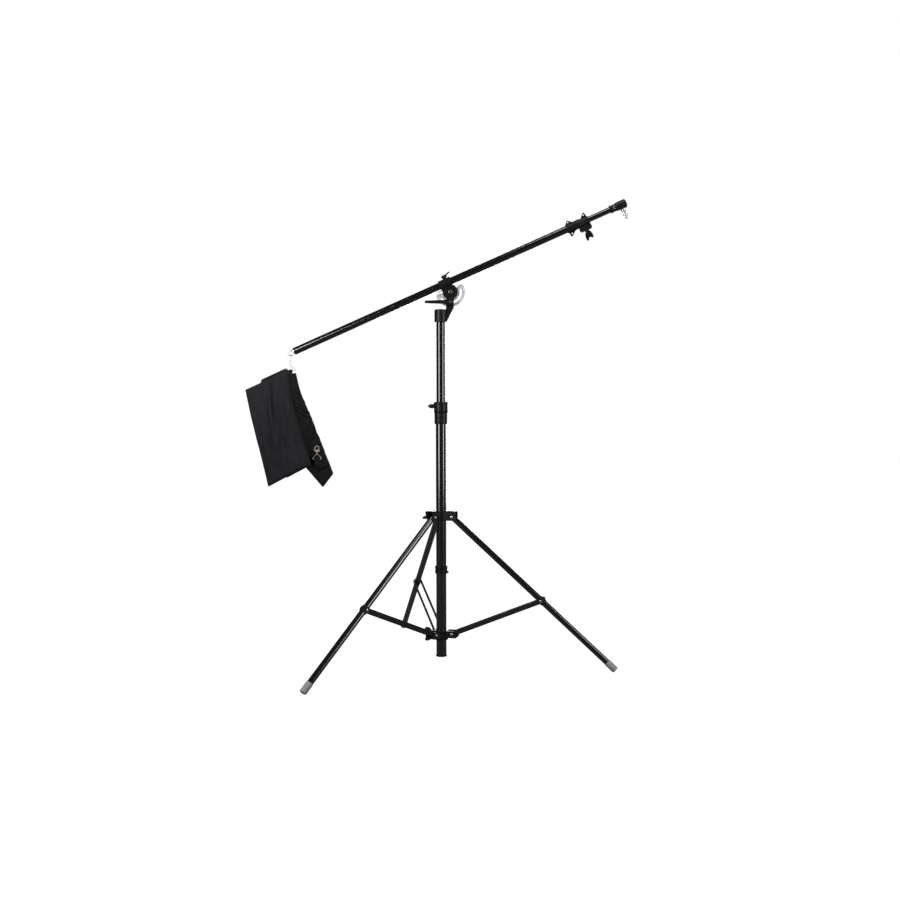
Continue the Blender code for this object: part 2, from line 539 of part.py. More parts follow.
def make_tip(boom):
    """The thin tube that telescopes out of the boom, and the fitting that a lamp hangs on."""
    tip = frame("boom_inner_frame", boom)
    tube = moved(sleeve(THIN_BOOM[1], THIN_BOOM[0], THIN_BACK, THIN_FRONT, SMALL_ROUND), ALONG_X)
    solid("boom_inner_tube", tube, tip, "tube_lacquer")

    bore = THIN_BOOM[0] + GAP
    profile = [(0.0, 640.4), (bore, 640.4), (bore, 619.0), (13.8, 619.0), (14.6, 620.0), (14.6, 623.2), (12.6, 624.6)]
    profile += [(12.6, 639.0), (14.0, 641.0), (14.6, 648.0), (15.3, 651.0), (15.3, 675.0), (12.5, 678.0), (0.0, 678.0)]
    fitting = solid("tip_fitting", moved(turned(profile, SMALL_ROUND), ALONG_X), tip, "satin_black")
    cut(fitting, rod((631.5, -20.0, 0), (631.5, -6.0, 0), 2.4))
    cut(fitting, rod((SPIGOT_PLACE, 0, -20.0), (SPIGOT_PLACE, 0, -3.0), 5.4, 16))

    screw = [(0.0, 10.5), (2.1, 10.5), (2.1, 13.0), (4.0, 13.0), (4.0, 14.6), (3.0, 15.6), (0.0, 15.6)]
    facing_front = shift(631.5, 0, 0) @ Matrix.Rotation(math.radians(90.0), 4, "X")
    solid("tip_screw", moved(turned(screw, 12), facing_front), tip, "silver")

    stud = [(0.0, -3.5), (5.0, -3.5), (5.0, -15.7), (8.0, -15.7), (8.0, -23.0), (6.6, -24.5), (6.6, -29.5)]
    stud += [(8.0, -31.0), (8.0, -40.2), (4.4, -40.2), (4.4, -51.5), (0.0, -51.5)]
    solid("spigot", moved(turned(stud, 16), shift(SPIGOT_PLACE, 0, 0)), tip, "chrome")


def snap_hook_body(name, hook, bend_height, half, leg, barrel, gate_side):
    """Bow, yoke and barrel of a snap hook. Its bow stands in the YZ plane, and its gate is at gate_side."""
    yoke_top = bend_height - leg
    barrel_low = yoke_top - barrel
    profile = [(0.0, barrel_low), (3.0, barrel_low), (4.2, barrel_low + 1.2), (4.2, yoke_top - 2), (0.0, yoke_top - 2)]
    body = solid(name, turned(profile, 12), hook, "chrome")
    join(body, block((-3.4, -half - 2.2, yoke_top - 3.5), (3.4, half + 2.2, yoke_top)))
    bend = [(0.0, gate_side * across, up) for across, up in arc((0.0, bend_height), half, 0, 180, 10)]
    tip = (0.0, gate_side * half, bend_height - 1.4)
    join(body, wire([tip] + bend + [(0.0, -gate_side * half, yoke_top - 1.0)], HOOK_WIRE))
    cut(body, rod((0, 0, barrel_low - 5.0), (0, 0, yoke_top + 3.0), 2.1))


def snap_gate_body(name, hook, bend_height, half, leg, gate_side):
    """The sprung gate that closes a snap hook, with its thumb stud."""
    foot = bend_height - leg + 2.0
    gate = frame(f"{name}_frame", hook, (0.0, gate_side * half, foot))
    rise = leg - 2.0 - 1.4 - HOOK_WIRE
    body = solid(name, rod((0, 0, -1.6), (0, 0, rise + 1.4), 1.5, 8), gate, "chrome")
    join(body, rod((0, 0, 2.0), (0, gate_side * 5.0, 1.0), 1.5, 8))


def swivel_body(name, parent, head_top, apex, bar_height, half_width, turn):
    """A headed pin that turns in a hook's barrel, and the triangular ring on its end."""
    pin = [(0.0, head_top), (2.4, head_top), (3.2, head_top - 0.8), (3.2, head_top - 2.7), (1.7, head_top - 2.7)]
    pin += [(1.7, apex - 0.9), (0.0, apex - 0.9)]
    body = solid(name, turned(pin, 12), parent, "chrome")
    corners = [(0.0, apex), (-2.0, apex - 0.7), (0.4 - half_width, bar_height + 3.2)]
    corners += [(-half_width, bar_height + 1.2), (1.8 - half_width, bar_height)]
    triangle = corners + [(-across, up) for across, up in reversed(corners[1:])]
    loop = wire([(across, 0.0, up) for across, up in triangle], 1.75, 8, True)
    join(body, moved(loop, bearing(turn)))


def strap_over_bar(half_width, foot, along):
    """Webbing folded over a bar at the origin, with both its ends at foot."""
    inner, outer = 2.1, 3.3
    strap = [(outer, foot)] + arc((0.0, 0.0), outer, 0, 180, 8) + [(-outer, foot), (-inner, foot)]
    strap += arc((0.0, 0.0), inner, 180, 0, 8) + [(inner, foot)]
    return plate(strap, -half_width, half_width, along)


def make_hook(boom):
    """A swivelling snap hook. It hangs plumb in the ring of the boom's end plug."""
    hook = frame("snap_hook_frame", boom, (RING_PLACE, 0.0, 0.0), (0.0, BOOM_TILT, 0.0))
    half, leg = 7.0, 16.35
    bend_height = HOOK_WIRE + GAP - (RING_RADIUS - RING_WIRE) - half
    snap_hook_body("snap_hook", hook, bend_height, half, leg, 12.5, 1.0)
    snap_gate_body("snap_gate", hook, bend_height, half, leg, 1.0)
    swivel = frame("swivel_eye_frame", hook)
    swivel_body("swivel_eye", swivel, bend_height - leg + 3.0, -43.6, -BAR_DROP, 15.4, 0.0)
    return swivel


def along_edge(points, share):
    """The point at a share of the length of an edge."""
    places = [Vector(point) for point in points]
    lengths = [(after - before).length for before, after in zip(places, places[1:])]
    left = share * sum(lengths)
    for before, after, length in zip(places, places[1:], lengths):
        if left <= length:
            return before.lerp(after, left / length)
        left -= length
    return places[-1]


def pouch(left, right, plump, sag, folds):
    """A limp flat pouch between two side seams, thin at its seams, full in the middle and hanging to a corner."""
    across, down, fold_depth = 8, 11, 2.2
    shape = bmesh.new()
    sheets = ([], [])
    for row in range(down + 1):
        v = row / down
        start, end = along_edge(left, v), along_edge(right, v)
        below = along_edge(left, min(v + 0.05, 1.0)) + along_edge(right, min(v + 0.05, 1.0))
        above = along_edge(left, max(v - 0.05, 0.0)) + along_edge(right, max(v - 0.05, 0.0))
        outward = (end - start).cross(below - above).normalized()
        for sheet in sheets:
            sheet.append([])
        for column in range(across + 1):
            u = column / across
            point = start.lerp(end, u) - Vector((0.0, 0.0, sag * (1.0 - abs(2.0 * u - 1.0)) * v**3))
            inside = math.sin(math.pi * u) * math.sin(math.pi * v)
            point += outward * fold_depth * math.sin(FULL_TURN * folds * u) * v * min(1.0, 2.5 * inside)
            fullness = plump * max(0.0, math.sin(math.pi * u)) ** 0.6 * min(1.0, 4.0 * v, 6.0 * (1.0 - v))
            if 0 < row < down and 0 < column < across:
                sheets[0][row].append(shape.verts.new((point + outward * fullness) * MM))
                sheets[1][row].append(shape.verts.new((point - outward * fullness) * MM))
            else:
                seam = shape.verts.new(point * MM)
                sheets[0][row].append(seam)
                sheets[1][row].append(seam)
    for sheet in sheets:
        for row in range(down):
            for column in range(across):
                ends = sheet[row][column : column + 2] + sheet[row + 1][column : column + 2][::-1]
                shape.faces.new(ends)
    return shape


def make_bag(swivel):
    """The empty counterweight bag: two pouches that hang by a webbing loop."""
    bag = frame("sandbag_frame", swivel, (0.0, 0.0, -BAR_DROP))
    solid("web_loop", strap_over_bar(STRAP_HALF, -16.0, "X"), bag, "nylon")

    front_left = [(-155.0, 24.0, -76.0), (-118.0, 20.0, -215.0), (-72.0, 12.0, -403.0)]
    front_right = [(0.0, -0.6, -7.0), (30.0, -23.0, -150.0), (76.0, -38.0, -322.0)]
    solid("bag_front_pouch", pouch(front_left, front_right, 8.0, 4.0, 2.0), bag, "nylon")

    rear_left = [(2.5, 0.6, -10.0), (34.0, -12.5, -160.0), (72.0, -25.5, -335.0)]
    rear_right = [(18.0, 2.5, -8.0), (22.0, 5.0, -34.0), (35.0, 9.5, -71.0), (67.0, 22.5, -140.0)]
    rear_right += [(101.0, 35.5, -227.0), (132.0, 47.5, -327.0), (147.0, 53.5, -360.0)]
    solid("bag_rear_pouch", pouch(rear_left, rear_right, 7.0, 50.0, 1.5), bag, "nylon")

    hook = frame("side_hook_frame", bag, SIDE_HOOK_PLACE, (0.0, 0.0, SIDE_HOOK_BEARING))
    half, leg = 6.8, 9.0
    snap_hook_body("side_hook", hook, 0.0, half, leg, 8.0, -1.0)
    snap_gate_body("side_gate", hook, 0.0, half, leg, -1.0)
    bar_height = -38.0
    swivel_body("side_eye", hook, 3.0 - leg, -20.2, bar_height, 16.0, 90.0)
    bar = frame("side_bar_frame", hook, (0.0, 0.0, bar_height))
    solid("side_strap", strap_over_bar(11.0, -18.0, "Y"), bar, "nylon")


def main():
    clear_scene()
    column = make_column()
    make_crown(column)
    make_hub(column)
    mast = make_mast(column)
    head = make_head(mast)
    clamp = make_boom_clamp(head)
    boom = make_boom(clamp)
    make_tip(boom)
    make_bag(make_hook(boom))


main()
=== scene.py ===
"""The looks of a studio boom light stand, built round its packed exact model.

Sizes are in millimetres and angles in degrees until a piece is put in its place. The places of lamps
and camera are in metres, and the power of a lamp is in watts.
"""

import math

import bpy
from mathutils import Matrix, Vector


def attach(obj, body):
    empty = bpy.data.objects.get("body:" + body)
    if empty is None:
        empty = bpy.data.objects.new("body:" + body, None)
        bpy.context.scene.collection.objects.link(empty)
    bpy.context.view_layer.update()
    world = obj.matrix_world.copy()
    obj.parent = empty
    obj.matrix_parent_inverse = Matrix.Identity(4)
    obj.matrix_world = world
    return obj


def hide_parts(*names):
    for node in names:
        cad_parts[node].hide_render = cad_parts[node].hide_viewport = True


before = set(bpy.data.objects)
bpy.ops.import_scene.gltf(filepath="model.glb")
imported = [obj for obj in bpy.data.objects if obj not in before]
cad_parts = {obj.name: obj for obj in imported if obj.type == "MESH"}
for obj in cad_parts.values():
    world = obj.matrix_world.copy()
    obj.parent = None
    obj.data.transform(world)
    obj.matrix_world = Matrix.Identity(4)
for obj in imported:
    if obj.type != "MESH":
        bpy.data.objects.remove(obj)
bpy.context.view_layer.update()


# Studio: a white sweep of paper under the stand, three tall strip lights and one box overhead.
# The strips left and right of the camera draw the two bright lines on each black tube, and the third
# lights the back. A narrow card brightens the low end of the boom.

MM = 0.001
FLOOR = -18.0 * MM
PAPER_MIRRORED = 0.05
AIR_LIGHT, AIR_SEEN, AIR_MIRRORED = 0.25, 1.0, 0.04


def pick(*pieces):
    """Leaves only these selected, with the first one active."""
    bpy.ops.object.select_all(action="DESELECT")
    for piece in pieces:
        piece.select_set(True)
    bpy.context.view_layer.objects.active = pieces[0]


def give(tree, socket, value):
    """Links a socket to another one, or sets it to a plain value."""
    if isinstance(value, bpy.types.NodeSocket):
        tree.links.new(value, socket)
    else:
        socket.default_value = value


def reckon(tree, operation, *values):
    """A math node on sockets and numbers."""
    made = tree.nodes.new("ShaderNodeMath")
    made.operation = operation
    for socket, value in zip(made.inputs, values):
        give(tree, socket, value)
    return made.outputs[0]


def start_material(name, values):
    """A new material with values on its shader, its node tree, and the shader's inputs."""
    made = bpy.data.materials.new(name)
    made.use_nodes = True
    inputs = made.node_tree.nodes["Principled BSDF"].inputs
    for label, value in values.items():
        inputs[label].default_value = value
    return made, made.node_tree, inputs


def into_scene(name, data):
    made = bpy.data.objects.new(name, data)
    bpy.context.scene.collection.objects.link(made)
    return made


WHITE = (1.0, 1.0, 1.0, 1.0)
paper, tree, inputs = start_material(
    "white_paper_sweep",
    {
        "Base Color": (0.08, 0.08, 0.08, 1.0),
        "Roughness": 0.9,
        "Specular IOR Level": 0.1,
        "Emission Color": WHITE,
    },
)
light_path = tree.nodes.new("ShaderNodeLightPath").outputs
mirrored = reckon(tree, "MULTIPLY", light_path["Is Glossy Ray"], PAPER_MIRRORED)
seen = reckon(tree, "MAXIMUM", light_path["Is Camera Ray"], mirrored)
give(tree, inputs["Emission Strength"], seen)

bpy.ops.mesh.primitive_plane_add(size=40.0, location=(0.0, 0.0, FLOOR))
sweep = bpy.context.object
sweep.name = "paper_floor"
bpy.ops.object.transform_apply(location=True)
sweep.data.materials.append(paper)

world = bpy.data.worlds.new("studio_air")
bpy.context.scene.world = world
world.use_nodes = True
tree = world.node_tree
background = tree.nodes["Background"].inputs
background["Color"].default_value = WHITE
light_path = tree.nodes.new("ShaderNodeLightPath").outputs
mirrored = reckon(tree, "MULTIPLY_ADD", light_path["Is Glossy Ray"], AIR_MIRRORED - AIR_LIGHT, AIR_LIGHT)
seen = reckon(tree, "MULTIPLY_ADD", light_path["Is Camera Ray"], AIR_SEEN - AIR_LIGHT, mirrored)
give(tree, background["Strength"], seen)


def softbox(name, place, aim, width, height, power, spread_angle=180.0):
    """An area lamp that faces a point, with its height upright."""
    lamp = bpy.data.lights.new(name, "AREA")
    lamp.shape = "RECTANGLE"
    lamp.size, lamp.size_y, lamp.energy = width, height, power
    lamp.spread = math.radians(spread_angle)
    stand = into_scene(name, lamp)
    stand.visible_camera = False
    stand.location = place
    stand.rotation_euler = (Vector(aim) - Vector(place)).to_track_quat("-Z", "Y").to_euler()


softbox("left_strip", (-2.16, -2.08, 1.6), (0.0, 0.0, 1.55), 1.1, 2.4, 60.0)
softbox("right_strip", (2.6, -1.5, 1.6), (0.0, 0.0, 1.55), 0.9, 2.4, 44.0)
softbox("rear_strip", (0.35, 3.0, 1.5), (0.0, 0.0, 1.2), 0.9, 2.4, 46.0)
softbox("overhead", (0.6, -0.7, 3.4), (0.0, 0.0, 0.9), 1.8, 0.9, 24.0)
softbox("boom_card", (-1.5, -2.3, 1.88), (-0.66, 0.0, 1.0), 1.3, 0.35, 0.9, spread_angle=30.0)

camera_data = bpy.data.cameras.new("photo_camera")
camera_data.lens = 38.3
camera_data.shift_x, camera_data.shift_y = 0.0101, -0.0191
camera = into_scene("photo_camera", camera_data)
camera.location = (0.0, -3.3, 0.769)
camera.rotation_euler = (math.radians(90.0), math.radians(0.15), 0.0)
bpy.context.scene.camera = camera
bpy.context.scene.view_settings.view_transform = "Standard"


# Column: the root tube of the stand, a black lacquered 35 mm steel tube, with a moulded plug in its foot.
# A clamp band stops the crown's slide, and a ferrule and a clamp ring at the top hold the thinner tube.


def effect(name, inputs, outputs):
    """A shader node group with named sockets, and its two end nodes."""
    group = bpy.data.node_groups.new(name, "ShaderNodeTree")
    for label, value in inputs.items():
        kind = "NodeSocketVector" if value is None else "NodeSocketFloat"
        socket = group.interface.new_socket(name=label, in_out="INPUT", socket_type=kind)
        if value is not None:
            socket.default_value = value
    for label in outputs:
        group.interface.new_socket(name=label, in_out="OUTPUT", socket_type="NodeSocketFloat")
    return group, group.nodes.new("NodeGroupInput").outputs, group.nodes.new("NodeGroupOutput").inputs


def noise(tree, vector, scale, detail):
    made = tree.nodes.new("ShaderNodeTexNoise")
    made.inputs["Detail"].default_value = detail
    tree.links.new(vector, made.inputs["Vector"])
    give(tree, made.inputs["Scale"], scale)
    return made.outputs["Fac"]


def spread(tree, value, low, high, start=0.0, end=1.0):
    """Maps a value from one range to another, held at its ends."""
    made = tree.nodes.new("ShaderNodeMapRange")
    for label, number in zip(("From Min", "From Max", "To Min", "To Max"), (start, end, low, high)):
        made.inputs[label].default_value = number
    tree.links.new(value, made.inputs["Value"])
    return made.outputs["Result"]


surface_group, given, put_out = effect(
    "surface_grain", {"Vector": None, "Grain Scale": 1800.0, "Patch Scale": 14.0}, ("Grain", "Patches")
)
for label, scale, detail in (("Grain", "Grain Scale", 2.0), ("Patches", "Patch Scale", 5.0)):
    pattern = noise(surface_group, given["Vector"], given[scale], detail)
    give(surface_group, put_out[label], pattern)

wear_group, given, put_out = effect("edge_wear", {"Vector": None, "Amount": 0.5}, ("Worn",))
pointiness = wear_group.nodes.new("ShaderNodeNewGeometry").outputs["Pointiness"]
edges = spread(wear_group, pointiness, 0.0, 1.0, start=0.53, end=0.6)
chips = noise(wear_group, given["Vector"], scale=160.0, detail=6.0)
chips = spread(wear_group, chips, 0.0, 1.0, start=0.5, end=0.62)
worn = reckon(wear_group, "MULTIPLY", reckon(wear_group, "MULTIPLY", edges, chips), given["Amount"])
give(wear_group, put_out["Worn"], worn)


def use_effect(tree, group, vector, **values):
    made = tree.nodes.new("ShaderNodeGroup")
    made.node_tree = group
    tree.links.new(vector, made.inputs["Vector"])
    for label, value in values.items():
        made.inputs[label.replace("_", " ").title()].default_value = value
    return made.outputs


def blend_colour(tree, share, first, second):
    """A mix of two colours, each of them three numbers or a socket."""
    made = tree.nodes.new("ShaderNodeMix")
    made.data_type = "RGBA"
    tree.links.new(share, made.inputs["Factor"])
    for label, colour in (("A", first), ("B", second)):
        give(tree, made.inputs[label], (*colour, 1.0) if isinstance(colour, tuple) else colour)
    return made.outputs["Result"]


def bumped(tree, height, strength, depth):
    """Relief from a height, with its depth in millimetres."""
    made = tree.nodes.new("ShaderNodeBump")
    made.inputs["Strength"].default_value = strength
    made.inputs["Distance"].default_value = depth * MM
    tree.links.new(height, made.inputs["Height"])
    return made.outputs["Normal"]


PATCH_LOW, PATCH_HIGH = 0.3, 0.7
COAT_ROUGHNESS = 0.16


def hard_finish(
    name,
    colour,
    bare,
    roughness,
    tint=None,
    metallic=0.0,
    ior=1.33,
    coat=0.0,
    wear=0.5,
    grain=1800.0,
    patch=14.0,
    gloss_change=0.06,
    bump=0.1,
    depth=0.05,
    rotation=(0.0, 0.0, 0.0),
    stretch=(1.0, 1.0, 1.0),
):
    """A paint, plating or moulding with patches of gloss, a fine grain and worn edges in the bare colour.

    The grain's depth is in millimetres. Its pattern turns with the piece.
    """
    values = {"Metallic": metallic, "IOR": ior, "Coat Weight": coat, "Coat Roughness": COAT_ROUGHNESS}
    made, tree, inputs = start_material(name, values)
    mapping = tree.nodes.new("ShaderNodeMapping")
    mapping.vector_type = "TEXTURE"
    mapping.inputs["Rotation"].default_value = rotation
    mapping.inputs["Scale"].default_value = stretch
    tree.links.new(tree.nodes.new("ShaderNodeTexCoord").outputs["Object"], mapping.inputs["Vector"])
    place = mapping.outputs["Vector"]
    surface = use_effect(tree, surface_group, place, grain_scale=grain, patch_scale=patch)
    worn = use_effect(tree, wear_group, place, amount=wear)["Worn"]
    patches = spread(tree, surface["Patches"], 0.0, 1.0, PATCH_LOW, PATCH_HIGH)
    paint = blend_colour(tree, patches, colour, tint or colour)
    smooth, dull = roughness - gloss_change, roughness + gloss_change
    gloss = spread(tree, surface["Patches"], smooth, dull, PATCH_LOW, PATCH_HIGH)
    give(tree, inputs["Base Color"], blend_colour(tree, worn, paint, bare))
    give(tree, inputs["Roughness"], gloss)
    give(tree, inputs["Normal"], bumped(tree, surface["Grain"], bump, depth))
    return made


def seal(piece, gap=0.001):
    """Merges corners within a gap in millimetres, and turns every face outward."""
    pick(piece)
    bpy.ops.object.mode_set(mode="EDIT")
    bpy.ops.mesh.select_all(action="SELECT")
    bpy.ops.mesh.remove_doubles(threshold=gap * MM)
    bpy.ops.mesh.normals_make_consistent(inside=False)
    bpy.ops.object.mode_set(mode="OBJECT")
    return piece


def round_edges(piece, width):
    """Rounds every sharp edge of a piece."""
    pick(piece)
    bevel = piece.modifiers.new("rounded edges", "BEVEL")
    bevel.width, bevel.segments = width * MM, 2
    bevel.limit_method, bevel.angle_limit = "ANGLE", math.radians(30.0)
    bpy.ops.object.modifier_apply(modifier=bevel.name)


def turned(name, rings, sides=64, hollow=False, rounding=0.3):
    """A piece turned about Z from (radius, height) rings, solid with flat ends or hollow all the way."""
    bpy.ops.mesh.primitive_circle_add(
        vertices=sides,
        radius=rings[0][0] * MM,
        location=(0.0, 0.0, rings[0][1] * MM),
        fill_type="NOTHING" if hollow else "NGON",
    )
    piece = bpy.context.object
    piece.name = name
    bpy.ops.object.transform_apply(location=True)
    bpy.ops.object.mode_set(mode="EDIT")
    bpy.ops.mesh.select_all(action="SELECT")
    extrude = bpy.ops.mesh.extrude_edges_move if hollow else bpy.ops.mesh.extrude_region_move
    following = rings[1:] + rings[:1] if hollow else rings[1:]
    for (radius, height), (next_radius, next_height) in zip(rings, following):
        extrude(TRANSFORM_OT_translate={"value": (0.0, 0.0, (next_height - height) * MM)})
        share = next_radius / radius
        bpy.ops.transform.resize(value=(share, share, 1.0), center_override=(0.0, 0.0, next_height * MM))
    bpy.ops.object.mode_set(mode="OBJECT")
    seal(piece)
    if rounding:
        round_edges(piece, rounding)
    return piece


def plate(name, outline, low, high, rounding):
    """A flat plate between two heights, from the corners of its outline in the XY plane."""
    bpy.ops.mesh.primitive_circle_add(vertices=len(outline), radius=MM, fill_type="NGON")
    piece = bpy.context.object
    piece.name = name
    for corner, (x, y) in zip(piece.data.vertices, outline):
        corner.co = (x * MM, y * MM, low * MM)
    bpy.ops.object.mode_set(mode="EDIT")
    bpy.ops.mesh.select_all(action="SELECT")
    bpy.ops.mesh.extrude_region_move(TRANSFORM_OT_translate={"value": (0.0, 0.0, (high - low) * MM)})
    bpy.ops.object.mode_set(mode="OBJECT")
    seal(piece)
    if rounding:
        round_edges(piece, rounding)
    return piece


def moved(piece, place):
    """Moves a piece by a matrix and leaves its object at the origin."""
    pick(piece)
    piece.matrix_world = place @ piece.matrix_world
    bpy.ops.object.transform_apply(location=True, rotation=True, scale=True)
    return piece


def shift(x, y, z):
    return Matrix.Translation(Vector((x, y, z)) * MM)


def turn(angle, axis):
    return Matrix.Rotation(math.radians(angle), 4, axis)


def with_tool(piece, tool, operation):
    """Joins a second shape to a piece, or cuts it away."""
    pick(piece)
    step = piece.modifiers.new("tool", "BOOLEAN")
    step.operation, step.object, step.solver = operation, tool, "EXACT"
    bpy.ops.object.modifier_apply(modifier=step.name)
    bpy.data.objects.remove(tool)


def welded(piece, *others):
    for other in others:
        with_tool(piece, other, "UNION")
    return piece


def drilled(piece, *tools):
    for tool in tools:
        with_tool(piece, tool, "DIFFERENCE")
    return piece


def fitted(piece, body, material, replaced=(), place=None, smooth_below=35.0):
    """A finished piece in its place, on its body, in its material, instead of its plain nodes."""
    if place is not None:
        moved(piece, place)
    pick(piece)
    piece.data.materials.clear()
    piece.data.materials.append(material)
    bpy.ops.object.shade_smooth_by_angle(angle=math.radians(smooth_below))
    even = piece.modifiers.new("even shading", "WEIGHTED_NORMAL")
    even.keep_sharp = True
    bpy.ops.object.modifier_apply(modifier=even.name)
    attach(piece, body)
    if replaced:
        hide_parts(*replaced)
    return piece


def tube(name, outside, inside, low, top):
    rings = [(inside, low), (outside, low), (outside, top), (inside, top)]
    return turned(name, rings, hollow=True, rounding=0.25)


LACQUER = (0.002, 0.002, 0.003)
RUBBED_LACQUER = (0.009, 0.009, 0.012)
ALONG_TUBE = (1.0, 1.0, 30.0)


def lacquer(name, place=Matrix()):
    """Black gloss lacquer, with rub marks that run along a tube in its place."""
    return hard_finish(
        name,
        LACQUER,
        RUBBED_LACQUER,
        0.2,
        rotation=place.to_euler(),
        stretch=ALONG_TUBE,
        grain=900.0,
        patch=60.0,
        bump=0.04,
        ior=1.6,
        coat=1.0,
        wear=0.3,
        gloss_change=0.03,
        tint=(0.003, 0.003, 0.005),
    )


upright_lacquer = lacquer("column_lacquer")
powder_coat = hard_finish(
    "powder_coat",
    (0.008, 0.008, 0.009),
    (0.12, 0.12, 0.12),
    0.34,
    grain=2600.0,
    bump=0.35,
    depth=0.12,
    wear=0.35,
)
black_moulding = hard_finish(
    "black_moulding",
    (0.007, 0.007, 0.008),
    (0.025, 0.025, 0.025),
    0.4,
    grain=1500.0,
    bump=0.3,
    depth=0.1,
    wear=0.4,
)
plated_steel = hard_finish(
    "plated_steel",
    (0.62, 0.62, 0.63),
    (0.75, 0.75, 0.75),
    0.24,
    metallic=1.0,
    grain=1200.0,
    bump=0.05,
    tint=(0.5, 0.5, 0.52),
)

column_tube = tube("column_tube", outside=17.5, inside=16.3, low=5.3, top=838.0)
fitted(column_tube, "column", upright_lacquer, ["outer_tube"])

foot_plug = turned("column_foot_plug", [(18.2, 0), (19, 0.8), (19, 5), (16, 5.1), (16, 24), (15, 25)])
fitted(foot_plug, "column", black_moulding, ["foot_cap"])

bands = [(17.8, 285), (21.4, 285), (21.4, 297), (20, 298)]
bands += [(20, 300), (21.4, 301), (21.4, 312.6), (17.8, 312.6)]
stop_band = turned("stop_band", bands, hollow=True, rounding=0.5)
lug = plate("stop_band_lug", [(20, -3), (25.5, -3), (25.5, 3), (20, 3)], 286.5, 293.5, 0.6)
fitted(welded(stop_band, lug), "column", powder_coat, ["stop_ring"])

ferrule_rings = [(17.8, 799.3), (21.2, 799.3), (22, 800.8)]
for groove in (806, 811, 816, 821):
    ferrule_rings += [(22, groove), (21.4, groove + 0.6), (21.4, groove + 1.4), (22, groove + 2)]
ferrule_rings += [(22, 832.6), (21.4, 834.6), (23.4, 838.1), (23.4, 840.6), (17.8, 840.6)]
ferrule = turned("column_ferrule", ferrule_rings, hollow=True, rounding=0.25)
fitted(ferrule, "column", powder_coat, ["mid_collar"])

COLLAR_KNOB_HEIGHT = 861.0
clamp_rings = [(15.4, 840.9), (22.2, 840.9), (24, 842.7), (24, 846), (23.2, 847), (23.2, 868)]
clamp_rings += [(24, 869), (24, 873.2), (22.2, 875), (15.4, 875)]
clamp_ring = turned("column_clamp_ring", clamp_rings, hollow=True, rounding=0.4)
boss = turned("clamp_boss", [(8.8, 17.0), (8.0, 24.0), (8.0, 26.5)], 32, rounding=0.5)
moved(boss, shift(0, 0, COLLAR_KNOB_HEIGHT) @ turn(-90.0, "Y"))
split_outline = [(-40.0, -0.8), (-10.0, -0.8), (-10.0, 0.8), (-40.0, 0.8)]
saw_cut = plate("saw_cut", split_outline, 830.0, 880.0, 0.0)
fitted(drilled(welded(clamp_ring, boss), saw_cut), "column", powder_coat, ["collar_clamp"])


# Wing screws: black moulded butterfly screws, each on a 6 mm steel thread that presses on the tube.
# One pattern serves the crown, the hub and both clamps, with wings of different lengths.

THREAD_RADIUS, THREAD_DEPTH, THREAD_PITCH = 3.0, 0.5, 1.25
WING_SHARES = [(0.55, 0.15), (0.8, 0.3), (0.93, 0.46), (1.0, 0.66), (0.985, 0.86), (0.9, 0.97)]
WING_SHARES += [(0.78, 1.0), (0.58, 0.94), (0.4, 0.8), (0.26, 0.62)]


def wing_screw(name, length, half_span, wing_turn):
    """A turned grip with two wings, which stand at an angle round it."""
    top = 0.78 * length
    rings = [(6.4, 0.3), (7.2, 1.0), (7.8, 0.3 * top), (6.2, 0.85 * top), (4.6, top)]
    screw = turned(name, rings, 32, rounding=0.5)
    right = [(3.0, 0.12 * length)]
    right += [(across * half_span, up * length) for across, up in WING_SHARES]
    outline = right + [(-across, up) for across, up in reversed(right)]
    wings = plate(f"{name}_wings", outline, -2.5, 2.5, 1.3)
    moved(wings, turn(wing_turn, "Z") @ turn(90.0, "X"))
    return welded(screw, wings)


def threaded_rod(name, shank):
    """A steel thread, as turned crests one pitch apart."""
    root, top = THREAD_RADIUS - THREAD_DEPTH, 2.0
    rings = [(root, -shank)]
    for step in range(int((top + shank) / THREAD_PITCH)):
        base = step * THREAD_PITCH - shank
        rings += [(root, base + 0.1), (THREAD_RADIUS, base + 0.5)]
        rings += [(THREAD_RADIUS, base + 0.75), (root, base + 1.15)]
    return turned(name, rings + [(root, top)], 24, rounding=0)


def outward(reach, height, azimuth):
    """A place whose Z points away from the column."""
    return turn(azimuth, "Z") @ shift(reach, 0, height) @ turn(90.0, "Y")


def add_wing_screw(knob, length, half_span, shank, wing_turn, place):
    """A wing screw on its own body, which has the name of its plain node."""
    screw = wing_screw(f"{knob}_wings", length, half_span, wing_turn)
    fitted(screw, knob, black_moulding, [knob], place)
    thread = threaded_rod(f"{knob}_thread", shank)
    fitted(thread, knob, plated_steel, place=place)


CROWN_HEIGHT, HUB_HEIGHT = 479.5, 79.0
KNOB_AZIMUTH, KNOB_REACH = 165.0, 30.0
add_wing_screw("collar_knob", 18.5, 20.0, 10.8, 90.0, outward(26.5, COLLAR_KNOB_HEIGHT, 180.0))
add_wing_screw("crown_knob", 32.0, 24.0, 11.8, 65.0, outward(KNOB_REACH, CROWN_HEIGHT + 5.0, KNOB_AZIMUTH))
add_wing_screw("hub_knob", 29.0, 24.0, 11.8, 0.0, outward(KNOB_REACH, HUB_HEIGHT - 5.0, KNOB_AZIMUTH))


# Crown and hub: the two die-cast yokes that slide on the column, each with three forked lugs.
# They are powder coated satin black, and bright rivets hold the legs and the struts in their forks.

LEG_AZIMUTHS = (-15.0, -135.0, 105.0)
PIVOT_REACH = 40.0


